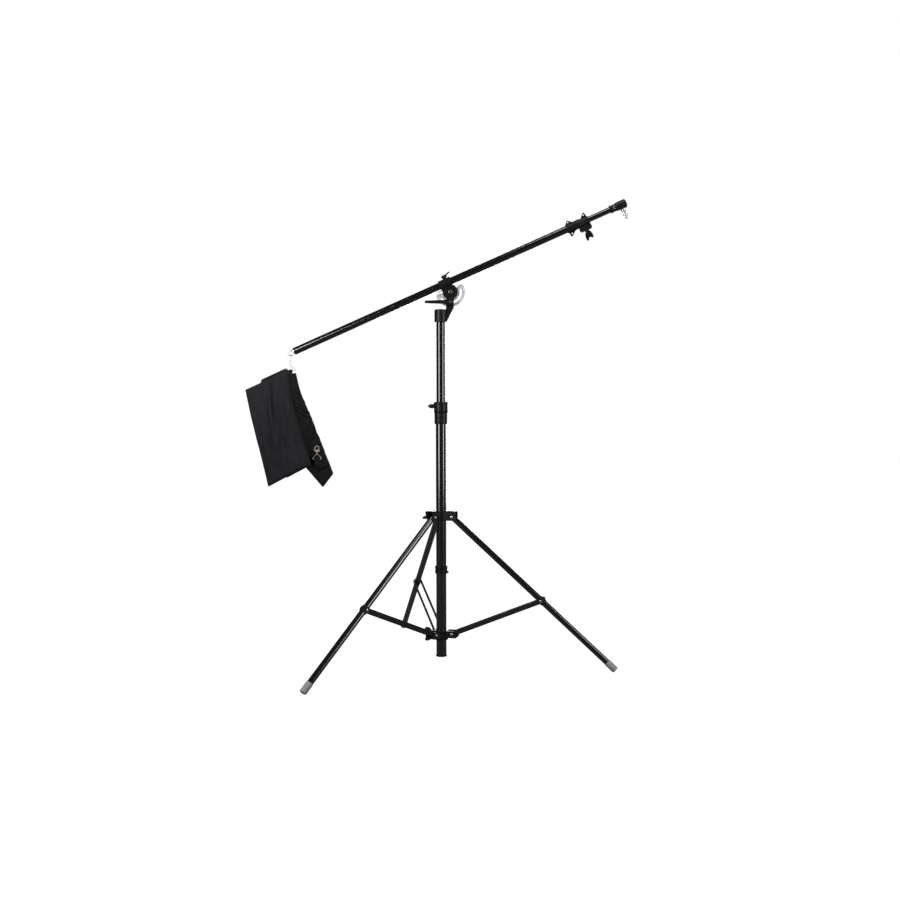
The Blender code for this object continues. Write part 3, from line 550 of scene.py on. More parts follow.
def fettled(node, name, rounding):
    """A casting from the exact model, its corners merged, its flats cleaned and its edges rounded."""
    casting = into_scene(name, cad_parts[node].data.copy())
    pick(casting)
    bpy.ops.mesh.customdata_custom_splitnormals_clear()
    bpy.ops.object.mode_set(mode="EDIT")
    bpy.ops.mesh.select_all(action="SELECT")
    bpy.ops.mesh.remove_doubles(threshold=0.005 * MM)
    bpy.ops.mesh.dissolve_limited(angle_limit=math.radians(0.5))
    bpy.ops.object.mode_set(mode="OBJECT")
    round_edges(casting, rounding)
    return casting


def domed_rivet(name, half_length):
    """A hinge rivet with a domed head at both ends."""
    top = half_length + 0.3
    half = [(3.0, top + 2.3), (4.4, top + 1.9), (5.2, top + 1.0), (5.5, top), (2.6, top - 0.05)]
    return turned(name, [(radius, -height) for radius, height in half] + half[::-1], 32, rounding=0.2)


for yoke, base, half_length in (("crown", CROWN_HEIGHT, 14.0), ("hub", HUB_HEIGHT, 17.6)):
    fitted(fettled(yoke, f"{yoke}_casting", 0.7), yoke, powder_coat, [yoke])
    for number, azimuth in enumerate(LEG_AZIMUTHS, 1):
        rivet = domed_rivet(f"{yoke}_pin_{number}", half_length)
        place = turn(azimuth, "Z") @ shift(PIVOT_REACH, 0, base) @ turn(-90.0, "X")
        fitted(rivet, yoke, plated_steel, [f"{yoke}_rivet_{number}"], place)

lip_rings = [(22.6, 499), (24, 499.6), (24, 501), (22.6, 501.4), (18.2, 501.4), (18.2, 499)]
crown_lip = turned("crown_lip", lip_rings, hollow=True)
fitted(crown_lip, "crown", powder_coat)


# Legs: 21 mm lacquered tubes, each riveted in a fork of the crown, with a grey rubber foot on the floor.
# A moulded clip on each tube carries the outer end of its struts.

LEG_SPREAD = 48.27
grey_rubber = hard_finish(
    "grey_rubber",
    (0.33, 0.33, 0.34),
    (0.42, 0.42, 0.42),
    0.62,
    grain=1300.0,
    bump=0.3,
    depth=0.12,
    tint=(0.25, 0.25, 0.26),
)
FOOT_RINGS = [(8.6, -740), (9.9, -739.4), (11.9, -737.5)]
for groove in (-732, -725, -718):
    FOOT_RINGS += [(11.9, groove - 1), (11.3, groove), (11.9, groove + 1)]
FOOT_RINGS += [(11.9, -705.5), (11.2, -703), (10.75, -703), (10.75, -731.3)]

for number, azimuth in enumerate(LEG_AZIMUTHS, 1):
    body = f"leg_{number}"
    place = turn(azimuth, "Z") @ shift(PIVOT_REACH, 0, CROWN_HEIGHT) @ turn(-LEG_SPREAD, "Y")
    leg_finish = lacquer(f"leg_lacquer_{number}", place)
    leg = tube(f"{body}_tube", outside=10.5, inside=9.5, low=-731.0, top=9.0)
    fitted(leg, body, leg_finish, [f"leg_tube_{number}"], place)

    foot = moved(turned(f"{body}_rubber_foot", FOOT_RINGS, 48, rounding=0.2), place)
    pick(foot)
    bpy.ops.object.mode_set(mode="EDIT")
    bpy.ops.mesh.select_all(action="SELECT")
    level, below = (0.0, 0.0, FLOOR), (0.0, 0.0, -1.0)
    bpy.ops.mesh.bisect(plane_co=level, plane_no=below, use_fill=True, clear_outer=True)
    bpy.ops.object.mode_set(mode="OBJECT")
    fitted(foot, body, grey_rubber, [f"leg_foot_{number}"])

    clip_rings = [(10.8, -423), (12.5, -423), (12.5, -419), (12.0, -418.4)]
    clip_rings += [(12.0, -405.6), (12.5, -405), (12.5, -401), (10.8, -401)]
    clip = turned(f"{body}_clip", clip_rings, 48, hollow=True, rounding=0.3)
    ear_outline = [(11.2, -418), (16.0, -415.8), (16.5, -414), (16.5, -410), (16.0, -408.2), (11.2, -406)]
    ear = plate("clip_ear", ear_outline, -3.5, 3.5, 0.6)
    moved(ear, turn(90.0, "X"))
    fitted(welded(clip, ear), body, black_moulding, [f"strut_clip_{number}"], place)


# Struts: pairs of flat steel bars, painted black, that hold each leg out from the hub.
# Each bar is punched with round ends, and bright rivet heads show at the legs.

STRUT_SPAN, STRUT_HALF, STRUT_RISE = 332.4, 8.0, 22.33


def arc(centre_x, centre_y, radius, start, stop, steps):
    """Points on an arc between two angles."""
    angles = [math.radians(start + (stop - start) * step / steps) for step in range(steps + 1)]
    return [(centre_x + radius * math.cos(angle), centre_y + radius * math.sin(angle)) for angle in angles]


strut_paint = hard_finish(
    "strut_paint", (0.011, 0.011, 0.012), (0.06, 0.06, 0.06), 0.42, grain=2200.0, bump=0.2, depth=0.1
)
STRUT_OUTLINE = arc(STRUT_SPAN, 0, STRUT_HALF, -90, 90, 16) + arc(0, 0, STRUT_HALF, 90, 270, 16)
for number, azimuth in enumerate(LEG_AZIMUTHS, 1):
    body = f"strut_{number}"
    place = turn(azimuth, "Z") @ shift(PIVOT_REACH, 0, HUB_HEIGHT) @ turn(-STRUT_RISE, "Y")
    for letter, side in (("a", 1.0), ("b", -1.0)):
        bar = plate(f"{body}{letter}", STRUT_OUTLINE, 12.8, 14.8, 0.35)
        standing = place @ turn(-90.0 * side, "X")
        fitted(bar, body, strut_paint, [f"strut_bar_{number}{letter}"], standing)
        head_rings = [(5.5, 13.8), (5.5, 15.6), (4.6, 16.9), (3.0, 17.3)]
        head = turned(f"{body}{letter}_head", head_rings, 32, rounding=0.3)
        fitted(head, body, plated_steel, place=standing @ shift(STRUT_SPAN, 0, 0))


# Mast: the 30 mm lacquered tube that rises out of the column, and the plastic bush that guides its lower end.
# Only the tube shows; the bush stays inside the column.

mast_tube = tube("mast_tube", outside=15.0, inside=13.8, low=300.0, top=1189.0)
fitted(mast_tube, "mast", upright_lacquer, ["inner_tube"])
bush_rings = [(15, 296), (16, 296), (16, 340), (15.3, 340), (15.3, 299.7), (15, 299.7)]
bush = turned("mast_bush", bush_rings, hollow=True, rounding=0)
fitted(bush, "mast", black_moulding, ["guide_bush"])


# Head: a cast collar and arm that carry the boom. A bolt with a long black lever pinches a silver slotted
# half disc, which turns with the boom between two round cheeks on a riveted pivot.

TILT_PIVOT = (33.0, 0.0, 1254.0)
BOLT_PLACE = (35.6, 0.0, 1217.2)
SET_SCREW_HEIGHT = 1171.0
ALONG_Y = turn(-90.0, "X")

bracket = fettled("head_bracket", "head_casting", 0.6)
fitted(bracket, "head", powder_coat, ["head_bracket"])
screw_rings = [(3, 15.4), (3, 21.6), (4.6, 21.6), (4.6, 24), (4, 24.6)]
screw = turned("collar_set_screw", screw_rings, 32, rounding=0.3)
socket = turned("hex_socket", [(2.2, 22.4), (2.2, 26.0)], 6, rounding=0)
place = shift(0, 0, SET_SCREW_HEIGHT) @ ALONG_Y
fitted(drilled(screw, socket), "head", plated_steel, ["head_screw"], place)

half = [(3.2, 11.0), (5.2, 10.9), (6.4, 10.2), (6.4, 8.8), (4.0, 8.75)]
axle = turned("pivot_axle", [(radius, -height) for radius, height in half] + half[::-1], 48, rounding=0.2)
olive_plating = hard_finish(
    "olive_plating",
    (0.3, 0.29, 0.17),
    (0.5, 0.48, 0.3),
    0.3,
    metallic=1.0,
    tint=(0.22, 0.21, 0.13),
    bump=0.05,
)
fitted(axle, "head", olive_plating, ["pivot_rivet"], shift(*TILT_PIVOT) @ ALONG_Y)

bolt_rings = [(3.4, -20.3), (3.8, -19.9), (3.8, 5.4), (7.5, 5.4), (7.5, 8.6), (6.6, 9.5)]
bolt = turned("tilt_lock_bolt", bolt_rings, 32, rounding=0.25)
bolt_face = turned("bolt_face", [(5.2, -21.6), (5.4, -20.6), (5.4, -19.4)], 6, rounding=0.3)
fitted(welded(bolt, bolt_face), "head", plated_steel, ["tilt_bolt"], shift(*BOLT_PLACE) @ ALONG_Y)

lever_hub = turned("tilt_lock_lever", [(9.4, 5.4), (10.0, 6.2), (10.0, 18.8), (9.2, 20.0)], 48, rounding=0.4)
handle = [(2.0, -9.4), (-6.0, -9.0), (-16.0, -7.4), (-30.0, -6.0), (-84.0, -3.6)]
handle += arc(-86.0, 0.8, 4.4, 250, 100, 8)
handle += [(-60.0, 6.2), (-20.0, 7.6), (-6.0, 8.8), (2.0, 9.2)]
grip = plate("lever_grip", handle, 14.0, 20.0, 1.2)
lever = welded(lever_hub, grip)
eye = turned("lever_eye", [(6.0, 3.0), (6.0, 30.0)], 32, rounding=0)
place = shift(*BOLT_PLACE) @ turn(90.0, "X")
fitted(drilled(lever, eye), "tilt_lever", black_moulding, ["tilt_lever"], place)


# Boom clamp: a cast ring round the boom, with the two cheeks under it and a moulded bar screw on top.
# The half disc is 2.5 mm plate, bright plated and shown bright partly by a painted reflection, with a long
# arc slot that the lock bolt runs in.

BOOM_TILT, BOOM_ABOVE_PIVOT = 24.0, 33.0
SLOT_INNER, SLOT_MIDDLE, SLOT_OUTER, SLOT_END = 32.7, 37.0, 41.3, 4.3
SLOT_FROM, SLOT_TO = 194, 346
CLAMP = shift(*TILT_PIVOT) @ turn(-BOOM_TILT, "Y")
STANDING = turn(90.0, "X")

casting = fettled("boom_clamp", "boom_clamp_casting", 0.6)
fitted(casting, "boom_clamp", powder_coat, ["boom_clamp"])

disc_outline = arc(0, 0, 50.5, 180, 360, 72) + arc(40.25, 0, 10.25, 15, 120, 10)
disc_outline += [(24, 5), (20, 13.2), (-20, 13.2), (-24, 5)] + arc(-40.25, 0, 10.25, 60, 165, 10)
disc = plate("slotted_half_disc", disc_outline, -1.25, 1.25, 0)
(left_x, left_y), (right_x, right_y) = arc(0, 0, SLOT_MIDDLE, SLOT_FROM, SLOT_TO, 1)
slot = arc(0, 0, SLOT_OUTER, SLOT_FROM, SLOT_TO, 64)[:-1]
slot += arc(right_x, right_y, SLOT_END, SLOT_TO, SLOT_TO + 180, 12)
slot += arc(0, 0, SLOT_INNER, SLOT_TO, SLOT_FROM, 64)[1:-1]
slot += arc(left_x, left_y, SLOT_END, SLOT_FROM + 180, SLOT_FROM + 360, 12)[:-1]
for inner, outer in ((30.4, 31.6), (42.6, 43.8)):
    lip = arc(0, 0, outer, 192, 348, 64) + arc(0, 0, inner, 348, 192, 64)
    welded(disc, plate("slot_lip", lip, -1.5, 1.5, 0))
drilled(disc, plate("arc_slot", slot, -3.0, 3.0, 0))
drilled(disc, turned("disc_bore", [(4.4, -3.0), (4.4, 3.0)], 32, rounding=0))
round_edges(disc, 0.4)
# Mostly diffuse near-white over a little metal: the plating's brightness is partly a painted reflection of
# the white studio, which the dim glossy world does not give.
disc_plating_and_painted_reflection = hard_finish(
    "disc_plating_and_painted_reflection",
    (0.82, 0.83, 0.84),
    (0.9, 0.9, 0.9),
    0.32,
    metallic=0.3,
    grain=700.0,
    patch=40.0,
    bump=0.12,
    tint=(0.62, 0.64, 0.67),
    gloss_change=0.1,
)
fitted(disc, "boom_clamp", disc_plating_and_painted_reflection, ["arc_plate"], CLAMP @ STANDING)


def joined(name, *pieces):
    """Several shapes in one object."""
    pick(*pieces)
    bpy.ops.object.join()
    bpy.context.object.name = name
    return bpy.context.object


mark_rings = [(17.6, 8.3), (18.6, 8.3), (18.6, 8.95), (17.6, 8.95)]
marks = [turned("cheek_ring", mark_rings, hollow=True, rounding=0.2)]
for dot_x, dot_y in arc(0, 0, 22.3, 150, 390, 10):
    dot = turned("cheek_dot", [(1.0, 8.3), (1.0, 8.8), (0.5, 9.1)], 16, rounding=0)
    marks.append(moved(dot, shift(dot_x, dot_y, 0)))
fitted(joined("cheek_marks", *marks), "boom_clamp", powder_coat, place=CLAMP @ STANDING)

knob_rings = [(3, -6), (3, 0.3), (9.6, 0.3), (9.6, 8.2), (8.0, 9.6)]
top_knob = turned("boom_lock_screw", knob_rings, 48, rounding=0.6)
bar_outline = [(-9.4, 3.0), (-6.0, 3.0), (6.0, 5.0), (20.0, 9.0), (23.6, 11.6), (24.0, 12.8)]
bar_outline += [(23.2, 14.2), (22.0, 14.5), (8.0, 11.0), (-6.0, 8.0), (-9.4, 6.6)]
tommy_bar = moved(plate("tommy_bar", bar_outline, -2.2, 2.2, 0.9), STANDING)
place = CLAMP @ shift(2.0, 0.0, BOOM_ABOVE_PIVOT + 19.0)
fitted(welded(top_knob, tommy_bar), "clamp_screw", black_moulding, ["clamp_screw"], place)


# Boom: a 25 mm lacquered tube with a chromed plug and eye in its back end. At its front a ribbed sleeve and
# a ribbed clamp, both black mouldings, hold the 20 mm tube that telescopes out.

RING_REACH, RING_RADIUS, RING_WIRE = -588.0, 9.0, 2.25
BOOM = CLAMP @ shift(0, 0, BOOM_ABOVE_PIVOT)
ALONG_BOOM = BOOM @ turn(90.0, "Y")
boom_lacquer = lacquer("boom_lacquer", ALONG_BOOM)
# Chrome with a fifth of its light diffuse off a near-white colour, so its brightness is partly a painted
# reflection of the white studio.
chrome = hard_finish(
    "satin_chrome_and_painted_reflection",
    (0.88, 0.88, 0.89),
    (0.9, 0.9, 0.9),
    0.3,
    metallic=0.8,
    bump=0.03,
    tint=(0.78, 0.78, 0.8),
)

boom_tube = tube("boom_tube", outside=12.5, inside=11.3, low=-573.7, top=500.0)
fitted(boom_tube, "boom_outer", boom_lacquer, ["boom_outer_tube"], ALONG_BOOM)

plug_rings = [(4.0, -581.2), (4.0, -577.3), (9.5, -576.5), (10.9, -575.2), (10.9, -556.2), (9.8, -555.0)]
plug = turned("boom_back_plug", plug_rings, 48, rounding=0.4)


def bent_wire(name, points, thickness, closed=False, steps=10):
    """A round wire bent smoothly through points."""
    line = bpy.data.curves.new(name, "CURVE")
    line.dimensions = "3D"
    line.bevel_depth, line.bevel_resolution = thickness * MM, 4
    line.use_fill_caps = True
    spline = line.splines.new("BEZIER")
    spline.resolution_u = steps
    spline.use_cyclic_u = closed
    spline.bezier_points.add(len(points) - 1)
    for knot, point in zip(spline.bezier_points, points):
        knot.co = Vector(point) * MM
        knot.handle_left_type = knot.handle_right_type = "AUTO"
    piece = into_scene(name, line)
    pick(piece)
    bpy.ops.object.convert(target="MESH")
    return seal(piece)


ring_points = [(x, 0.0, RING_REACH + z) for x, z in arc(0, 0, RING_RADIUS, 0, 337.5, 15)]
plug_eye = bent_wire("plug_eye", ring_points, RING_WIRE, closed=True)
fitted(welded(plug, plug_eye), "boom_outer", chrome, ["boom_end_plug"], ALONG_BOOM)

sleeve = fettled("joint_sleeve", "ribbed_sleeve", 0.5)
fitted(sleeve, "boom_outer", black_moulding, ["joint_sleeve"])
taper = fettled("joint_clamp", "ribbed_clamp", 0.5)
fitted(taper, "boom_outer", black_moulding, ["joint_clamp"])
JOINT_KNOB_PLACE = (517.0, 0.0, -31.5)
DOWN = turn(180.0, "X")
add_wing_screw("joint_knob", 33.0, 22.0, 20.5, 70.0, BOOM @ shift(*JOINT_KNOB_PLACE) @ DOWN)


# Boom tip: the 20 mm tube, a cast fitting screwed to its end, and the chromed 16 mm spigot for a lamp.
# The spigot has a waist for the lamp's screw and a threaded end.

SPIGOT_PLACE, TIP_SCREW_PLACE = 660.0, 631.5

thin_tube = tube("thin_boom_tube", outside=10.0, inside=8.8, low=-330.0, top=640.0)
fitted(thin_tube, "boom_inner", boom_lacquer, ["boom_inner_tube"], ALONG_BOOM)

tip_rings = [(1.5, 640.4), (10.3, 640.4), (10.3, 619), (13.8, 619), (14.6, 620), (14.6, 623.2)]
tip_rings += [(12.6, 624.6), (12.6, 639), (14, 641), (14.6, 648)]
tip_rings += [(15.3, 651), (15.3, 675), (12.5, 678), (1.5, 678.2)]
tip = turned("boom_tip_fitting", tip_rings, rounding=0.4)
spigot_hole = turned("spigot_hole", [(5.4, 3.0), (5.4, 20.0)], 32, rounding=0)
screw_hole = turned("screw_hole", [(2.4, 8.0), (2.4, 20.0)], 24, rounding=0)
moved(spigot_hole, shift(0, 0, SPIGOT_PLACE) @ turn(90.0, "Y"))
moved(screw_hole, shift(0, 0, TIP_SCREW_PLACE) @ turn(90.0, "X"))
drilled(tip, spigot_hole, screw_hole)
fitted(tip, "boom_inner", powder_coat, ["tip_fitting"], ALONG_BOOM)

screw_rings = [(2.1, 10.5), (2.1, 13), (4, 13), (4, 14.6), (3, 15.6)]
tip_screw = turned("tip_grub_screw", screw_rings, 32, rounding=0.25)
place = BOOM @ shift(TIP_SCREW_PLACE, 0, 0) @ turn(90.0, "X")
fitted(tip_screw, "boom_inner", plated_steel, ["tip_screw"], place)

stud_rings = [(5.0, 3.5), (5.0, 15.7), (7.4, 15.7), (8.0, 16.3), (8.0, 23.0), (6.6, 24.5)]
stud_rings += [(6.6, 29.5), (8.0, 31.0), (8.0, 39.4), (7.2, 40.2), (4.0, 40.3)]
for crest in range(8):
    base = 41.0 + THREAD_PITCH * crest
    stud_rings += [(4.0, base), (4.4, base + 0.35), (4.4, base + 0.6), (4.0, base + 0.95)]
stud = turned("lamp_spigot", stud_rings + [(4.0, 51.5)], 48, rounding=0)
fitted(stud, "boom_inner", chrome, ["spigot"], BOOM @ shift(SPIGOT_PLACE, 0, 0) @ DOWN)


# Snap hooks: two plated steel hooks of one pattern. Each has a bent wire bow, a sprung gate with a thumb
# stud, a barrel, and a triangular eye that swivels in the barrel. One hangs in the boom's eye, and the
# other, in dull nickel, hangs on the bag.

HOOK_WIRE, HOOK_TIP, GATE_FOOT, EYE_WIRE = 1.8, 1.4, 2.0, 1.75


def snap_hook(name, metal, bend_height, half, leg, barrel, gate_side, place, node):
    """Barrel, yoke and bow. The bow stands in the YZ plane with its opening on the side of the gate."""
    yoke_top = bend_height - leg
    low = yoke_top - barrel
    rings = [(3.0, low), (4.2, low + 1.2), (4.2, low + 0.45 * barrel)]
    rings += [(3.5, low + 0.5 * barrel), (4.4, yoke_top - 2.0)]
    hook = turned(name, rings, 32, rounding=0.4)
    reach = half + 2.2
    yoke_outline = [(-3.4, -reach), (3.4, -reach), (3.4, reach), (-3.4, reach)]
    yoke_bar = plate("yoke_bar", yoke_outline, yoke_top - 3.5, yoke_top, 1.0)
    bend = [(0.0, gate_side * across, up) for across, up in arc(0.0, bend_height, half, 0, 180, 6)]
    tip = (0.0, gate_side * half, bend_height - HOOK_TIP)
    bow = bent_wire("bow", [tip] + bend + [(0.0, -gate_side * half, yoke_top - 1.0)], HOOK_WIRE)
    pin_hole = turned("pin_hole", [(2.1, low - 5.0), (2.1, yoke_top + 3.0)], 24, rounding=0)
    fitted(drilled(welded(hook, yoke_bar, bow), pin_hole), node, metal, [node], place)


def snap_gate(name, metal, bend_height, half, leg, gate_side, place, node):
    """The sprung bolt that closes the bow, with the stud that a thumb draws it back by."""
    rise = leg - GATE_FOOT - HOOK_TIP - HOOK_WIRE
    gate = turned(name, [(1.0, -1.6), (1.5, -1.1), (1.5, rise + 0.9), (1.0, rise + 1.4)], 24, rounding=0.2)
    stud_rings = [(1.3, 0.0), (1.3, 3.2), (2.1, 3.6), (2.1, 4.8), (1.4, 5.3)]
    thumb_stud = turned("thumb_stud", stud_rings, 24, rounding=0.2)
    moved(thumb_stud, shift(0, 0, 2.0) @ turn(-100.0 * gate_side, "X"))
    foot_place = place @ shift(0.0, gate_side * half, bend_height - leg + GATE_FOOT)
    fitted(welded(gate, thumb_stud), node, metal, [node], foot_place)


def swivel_eye(name, metal, head_top, apex, bar_height, half_width, angle, place, node):
    """A headed pin that turns in the barrel, with a triangular wire loop on its end."""
    rings = [(1.7, apex - 0.9), (1.7, head_top - 2.7), (3.2, head_top - 2.7), (3.2, head_top - 0.8)]
    pin = turned(name, rings + [(2.4, head_top)], 24, rounding=0.2)
    halfway = (-0.5 * half_width - 0.6, (apex + bar_height) / 2.0 + 1.4)
    slope = [(-2.2, apex - 0.9), halfway, (0.6 - half_width, bar_height + 3.6)]
    slope += [(0.2 - half_width, bar_height + 1.2)]
    slope += [(2.4 - half_width, bar_height), (5.0 - half_width, bar_height)]
    outline = [(0.0, apex)] + slope + [(-across, up) for across, up in reversed(slope)]
    loop = bent_wire("loop", [(across, 0.0, up) for across, up in outline], EYE_WIRE, closed=True, steps=5)
    fitted(welded(pin, moved(loop, turn(angle, "Z"))), node, metal, [node], place)


HOOK_HALF, HOOK_LEG, BAR_DROP = 7.0, 16.35, 60.0
SIDE_HALF, SIDE_LEG, SIDE_BAR_DROP = 6.8, 9.0, 38.0
SIDE_HOOK_PLACE, SIDE_HOOK_BEARING = (91.0, -8.0, -267.0), -58.0
HANG = Matrix.Translation(BOOM @ Vector((RING_REACH * MM, 0.0, 0.0)))
BAG = HANG @ shift(0, 0, -BAR_DROP)
SIDE = BAG @ shift(*SIDE_HOOK_PLACE) @ turn(SIDE_HOOK_BEARING, "Z")
TOP_BEND = HOOK_WIRE + 0.3 - (RING_RADIUS - RING_WIRE) - HOOK_HALF
TOP_HEAD = TOP_BEND - HOOK_LEG + 3.0
snap_hook("boom_snap_hook", chrome, TOP_BEND, HOOK_HALF, HOOK_LEG, 12.5, 1.0, HANG, "snap_hook")
snap_gate("boom_snap_gate", chrome, TOP_BEND, HOOK_HALF, HOOK_LEG, 1.0, HANG, "snap_gate")
swivel_eye("boom_swivel_eye", chrome, TOP_HEAD, -43.6, -BAR_DROP, 15.4, 0.0, HANG, "swivel_eye")
nickel = hard_finish(
    "dull_nickel",
    (0.42, 0.37, 0.32),
    (0.6, 0.56, 0.5),
    0.3,
    metallic=1.0,
    tint=(0.3, 0.26, 0.22),
    bump=0.08,
    wear=0.8,
)
snap_hook("bag_snap_hook", nickel, 0.0, SIDE_HALF, SIDE_LEG, 8.0, -1.0, SIDE, "side_hook")
snap_gate("bag_snap_gate", nickel, 0.0, SIDE_HALF, SIDE_LEG, -1.0, SIDE, "side_gate")
swivel_eye("bag_swivel_eye", nickel, 3.0 - SIDE_LEG, -20.2, -SIDE_BAR_DROP, 16.0, 90.0, SIDE, "side_eye")


# Counterweight bag: an empty saddle bag of black coated nylon, which hangs by a webbing loop from the eye.
# Its front pouch has an overlapping panel, and a hem crosses the rear pouch above its pointed corner.

STITCH_INSET, STITCH_HALF, STITCH_PITCH, STITCH_SHARE = 3.6, 0.4, 4.0, 0.65
BINDING_WIDTH, BINDING_EDGE = 5.0, 5.8
woven, given, put_out = effect(
    "woven_cloth",
    {"Vector": None, "Width": 160.0, "Height": 330.0, "Pitch": 1.1},
    ("Weave", "Stitches", "Binding"),
)
shares = woven.nodes.new("ShaderNodeSeparateXYZ")
give(woven, shares.inputs[0], given["Vector"])
lines, threads, margins = [], [], []
for share, length, other, other_length in (("X", "Width", "Y", "Height"), ("Y", "Height", "X", "Width")):
    near = shares.outputs[share]
    along = reckon(woven, "MULTIPLY", near, given[length])
    phase = reckon(woven, "DIVIDE", reckon(woven, "MULTIPLY", along, math.tau), given["Pitch"])
    threads.append(reckon(woven, "ABSOLUTE", reckon(woven, "SINE", phase)))
    # The binding and its stitches run along the left edge, the top and the bottom.
    if share == "Y":
        from_middle = reckon(woven, "ABSOLUTE", reckon(woven, "SUBTRACT", near, 0.5))
        near = reckon(woven, "SUBTRACT", 0.5, from_middle)
    margins.append(reckon(woven, "MULTIPLY", near, given[length]))
    on_line = reckon(woven, "COMPARE", margins[-1], STITCH_INSET, STITCH_HALF)
    run = reckon(woven, "MULTIPLY", shares.outputs[other], given[other_length])
    step = reckon(woven, "FRACT", reckon(woven, "DIVIDE", run, STITCH_PITCH))
    dash = reckon(woven, "LESS_THAN", step, STITCH_SHARE)
    lines.append(reckon(woven, "MULTIPLY", on_line, dash))
nearest = reckon(woven, "MINIMUM", *margins)
give(woven, put_out["Weave"], reckon(woven, "MAXIMUM", *threads))
give(woven, put_out["Stitches"], reckon(woven, "MAXIMUM", *lines))
give(woven, put_out["Binding"], spread(woven, nearest, 1.0, 0.0, BINDING_WIDTH, BINDING_EDGE))
BINDING_BLACK, THREAD_BLACK = (0.004, 0.004, 0.0045), (0.03, 0.03, 0.034)


def cloth_finish(name, width, height, colour, tint):
    """Coated nylon with a visible weave, patches of a second shade and a stitched binding."""
    values = {"Roughness": 0.6, "IOR": 1.25, "Sheen Weight": 0.02, "Sheen Roughness": 0.4}
    made, tree, inputs = start_material(name, values)
    where = tree.nodes.new("ShaderNodeTexCoord").outputs
    cloth = use_effect(tree, woven, where["UV"], width=width, height=height)
    patches = use_effect(tree, surface_group, where["Object"], patch_scale=22.0)["Patches"]
    shade = spread(tree, patches, 0.0, 1.0, PATCH_LOW, PATCH_HIGH)
    bound = blend_colour(tree, cloth["Binding"], blend_colour(tree, shade, colour, tint), BINDING_BLACK)
    relief = reckon(tree, "ADD", reckon(tree, "ADD", cloth["Weave"], cloth["Stitches"]), cloth["Binding"])
    give(tree, inputs["Base Color"], blend_colour(tree, cloth["Stitches"], bound, THREAD_BLACK))
    give(tree, inputs["Normal"], bumped(tree, relief, 0.5, 0.25))
    return made


def on_curve(points, share):
    """A point on a smooth line through evenly shared points."""
    places = [Vector(point) for point in points]
    place = share * (len(places) - 1)
    step = min(int(place), len(places) - 2)
    t = place - step
    before = places[step - 1] if step else 2.0 * places[0] - places[1]
    after = places[step + 2] if step + 2 < len(places) else 2.0 * places[-1] - places[-2]
    start, end = places[step], places[step + 1]
    bend = (2.0 * start, end - before, 2.0 * before - 5.0 * start + 4.0 * end - after)
    return 0.5 * (bend[0] + bend[1] * t + bend[2] * t**2 + (3.0 * start - before - 3.0 * end + after) * t**3)


def fade(value, start, end):
    """0 below start and 1 above end, and smooth between them."""
    share = min(1.0, max(0.0, (value - start) / (end - start)))
    return share * share * (3.0 - 2.0 * share)


BACK_FULLNESS = 0.8


def cloth_shell(name, left, right, lift, back_folds, drop, columns=120, rows=160):
    """Two sheets of cloth sewn together between a left and a right edge, each lifted off the flat.

    The hidden back sheet has a share of the front's folds and fullness.
    """
    sheets = []
    for side, folds, full in ((1.0, 1.0, 1.0), (-1.0, back_folds, BACK_FULLNESS)):
        bpy.ops.mesh.primitive_grid_add(x_subdivisions=columns, y_subdivisions=rows, size=1.0)
        sheet = bpy.context.object
        for corner in sheet.data.vertices:
            u, v = corner.co.x + 0.5, 0.5 - corner.co.y
            start, end = on_curve(left, v), on_curve(right, v)
            down = on_curve(left, min(v + 0.03, 1.0)) - on_curve(left, max(v - 0.03, 0.0))
            facing = (end - start).cross(down).normalized()
            if facing.y > 0.0:
                facing.negate()
            seam = fade(min(u, 1.0 - u), 0.0, 0.04) * fade(min(v, 1.0 - v), 0.0, 0.025)
            fold, fullness = lift(u, v)
            rim = 0.7 * min(1.0, 60.0 * min(u, 1.0 - u, v, 1.0 - v))
            away = facing * (folds * fold + side * (full * fullness * seam + rim))
            corner.co = (start.lerp(end, u) + away - Vector((0.0, 0.0, drop(u, v)))) * MM
        sheets.append(sheet)
    return seal(joined(name, *sheets), 0.01)


def ripple(value, centre, width):
    """A soft ridge round a centre."""
    return math.exp(-(((value - centre) / width) ** 2))


FRONT_FULLNESS, PANEL_LIFT = 7.0, 1.6
SWELL_HEIGHT, WRINKLE_HEIGHT = 2.4, 0.9
CORNER_RISE, PANEL_STEP = 11.0, 10.0


def panel_line(v):
    """Where the edge of the overlapping panel lies, as a share of the width."""
    return 0.356 + 0.08 * v


# Each tension fold of the front runs between two shares of the width, and has a height and a width there.
FRONT_FOLDS = (
    (0.52, 0.36, 5.5, 0.050),
    (0.60, 0.52, -4.5, 0.034),
    (0.68, 0.38, 3.4, 0.022),
    (0.74, 0.64, 5.0, 0.040),
    (0.80, 0.48, -3.6, 0.026),
    (0.86, 0.74, 4.4, 0.034),
    (0.92, 0.66, -3.0, 0.022),
    (0.96, 0.86, 2.6, 0.024),
)


def front_folds(u, v):
    """Folds that fan out from the webbing loop, over a softly filled pouch with an overlapping panel."""
    fold = 0.0
    for number, (top, bottom, height, width) in enumerate(FRONT_FOLDS):
        line = top + (bottom - top) * v + 0.018 * math.sin(8.0 * v + 2.3 * number)
        length = math.sin(math.pi * min(1.0, v * (1.15 + 0.12 * (number % 3)))) ** 0.6
        fold += height * length * ripple(u, line, width * (1.0 + 0.8 * v))
    fold += SWELL_HEIGHT * math.sin(8.0 * u + 3.0 * v) * math.sin(5.0 * v + 2.0 * u)
    fold += WRINKLE_HEIGHT * math.sin(34.0 * u - 11.0 * v) * math.sin(15.0 * v + 9.0 * u)
    bulge = max(0.0, math.sin(math.pi * v)) ** 0.4
    panel = PANEL_LIFT * fade(u - panel_line(v), 0.0, 0.012)
    return fold * bulge, FRONT_FULLNESS * max(0.0, math.sin(math.pi * u)) ** 0.5 * bulge + panel


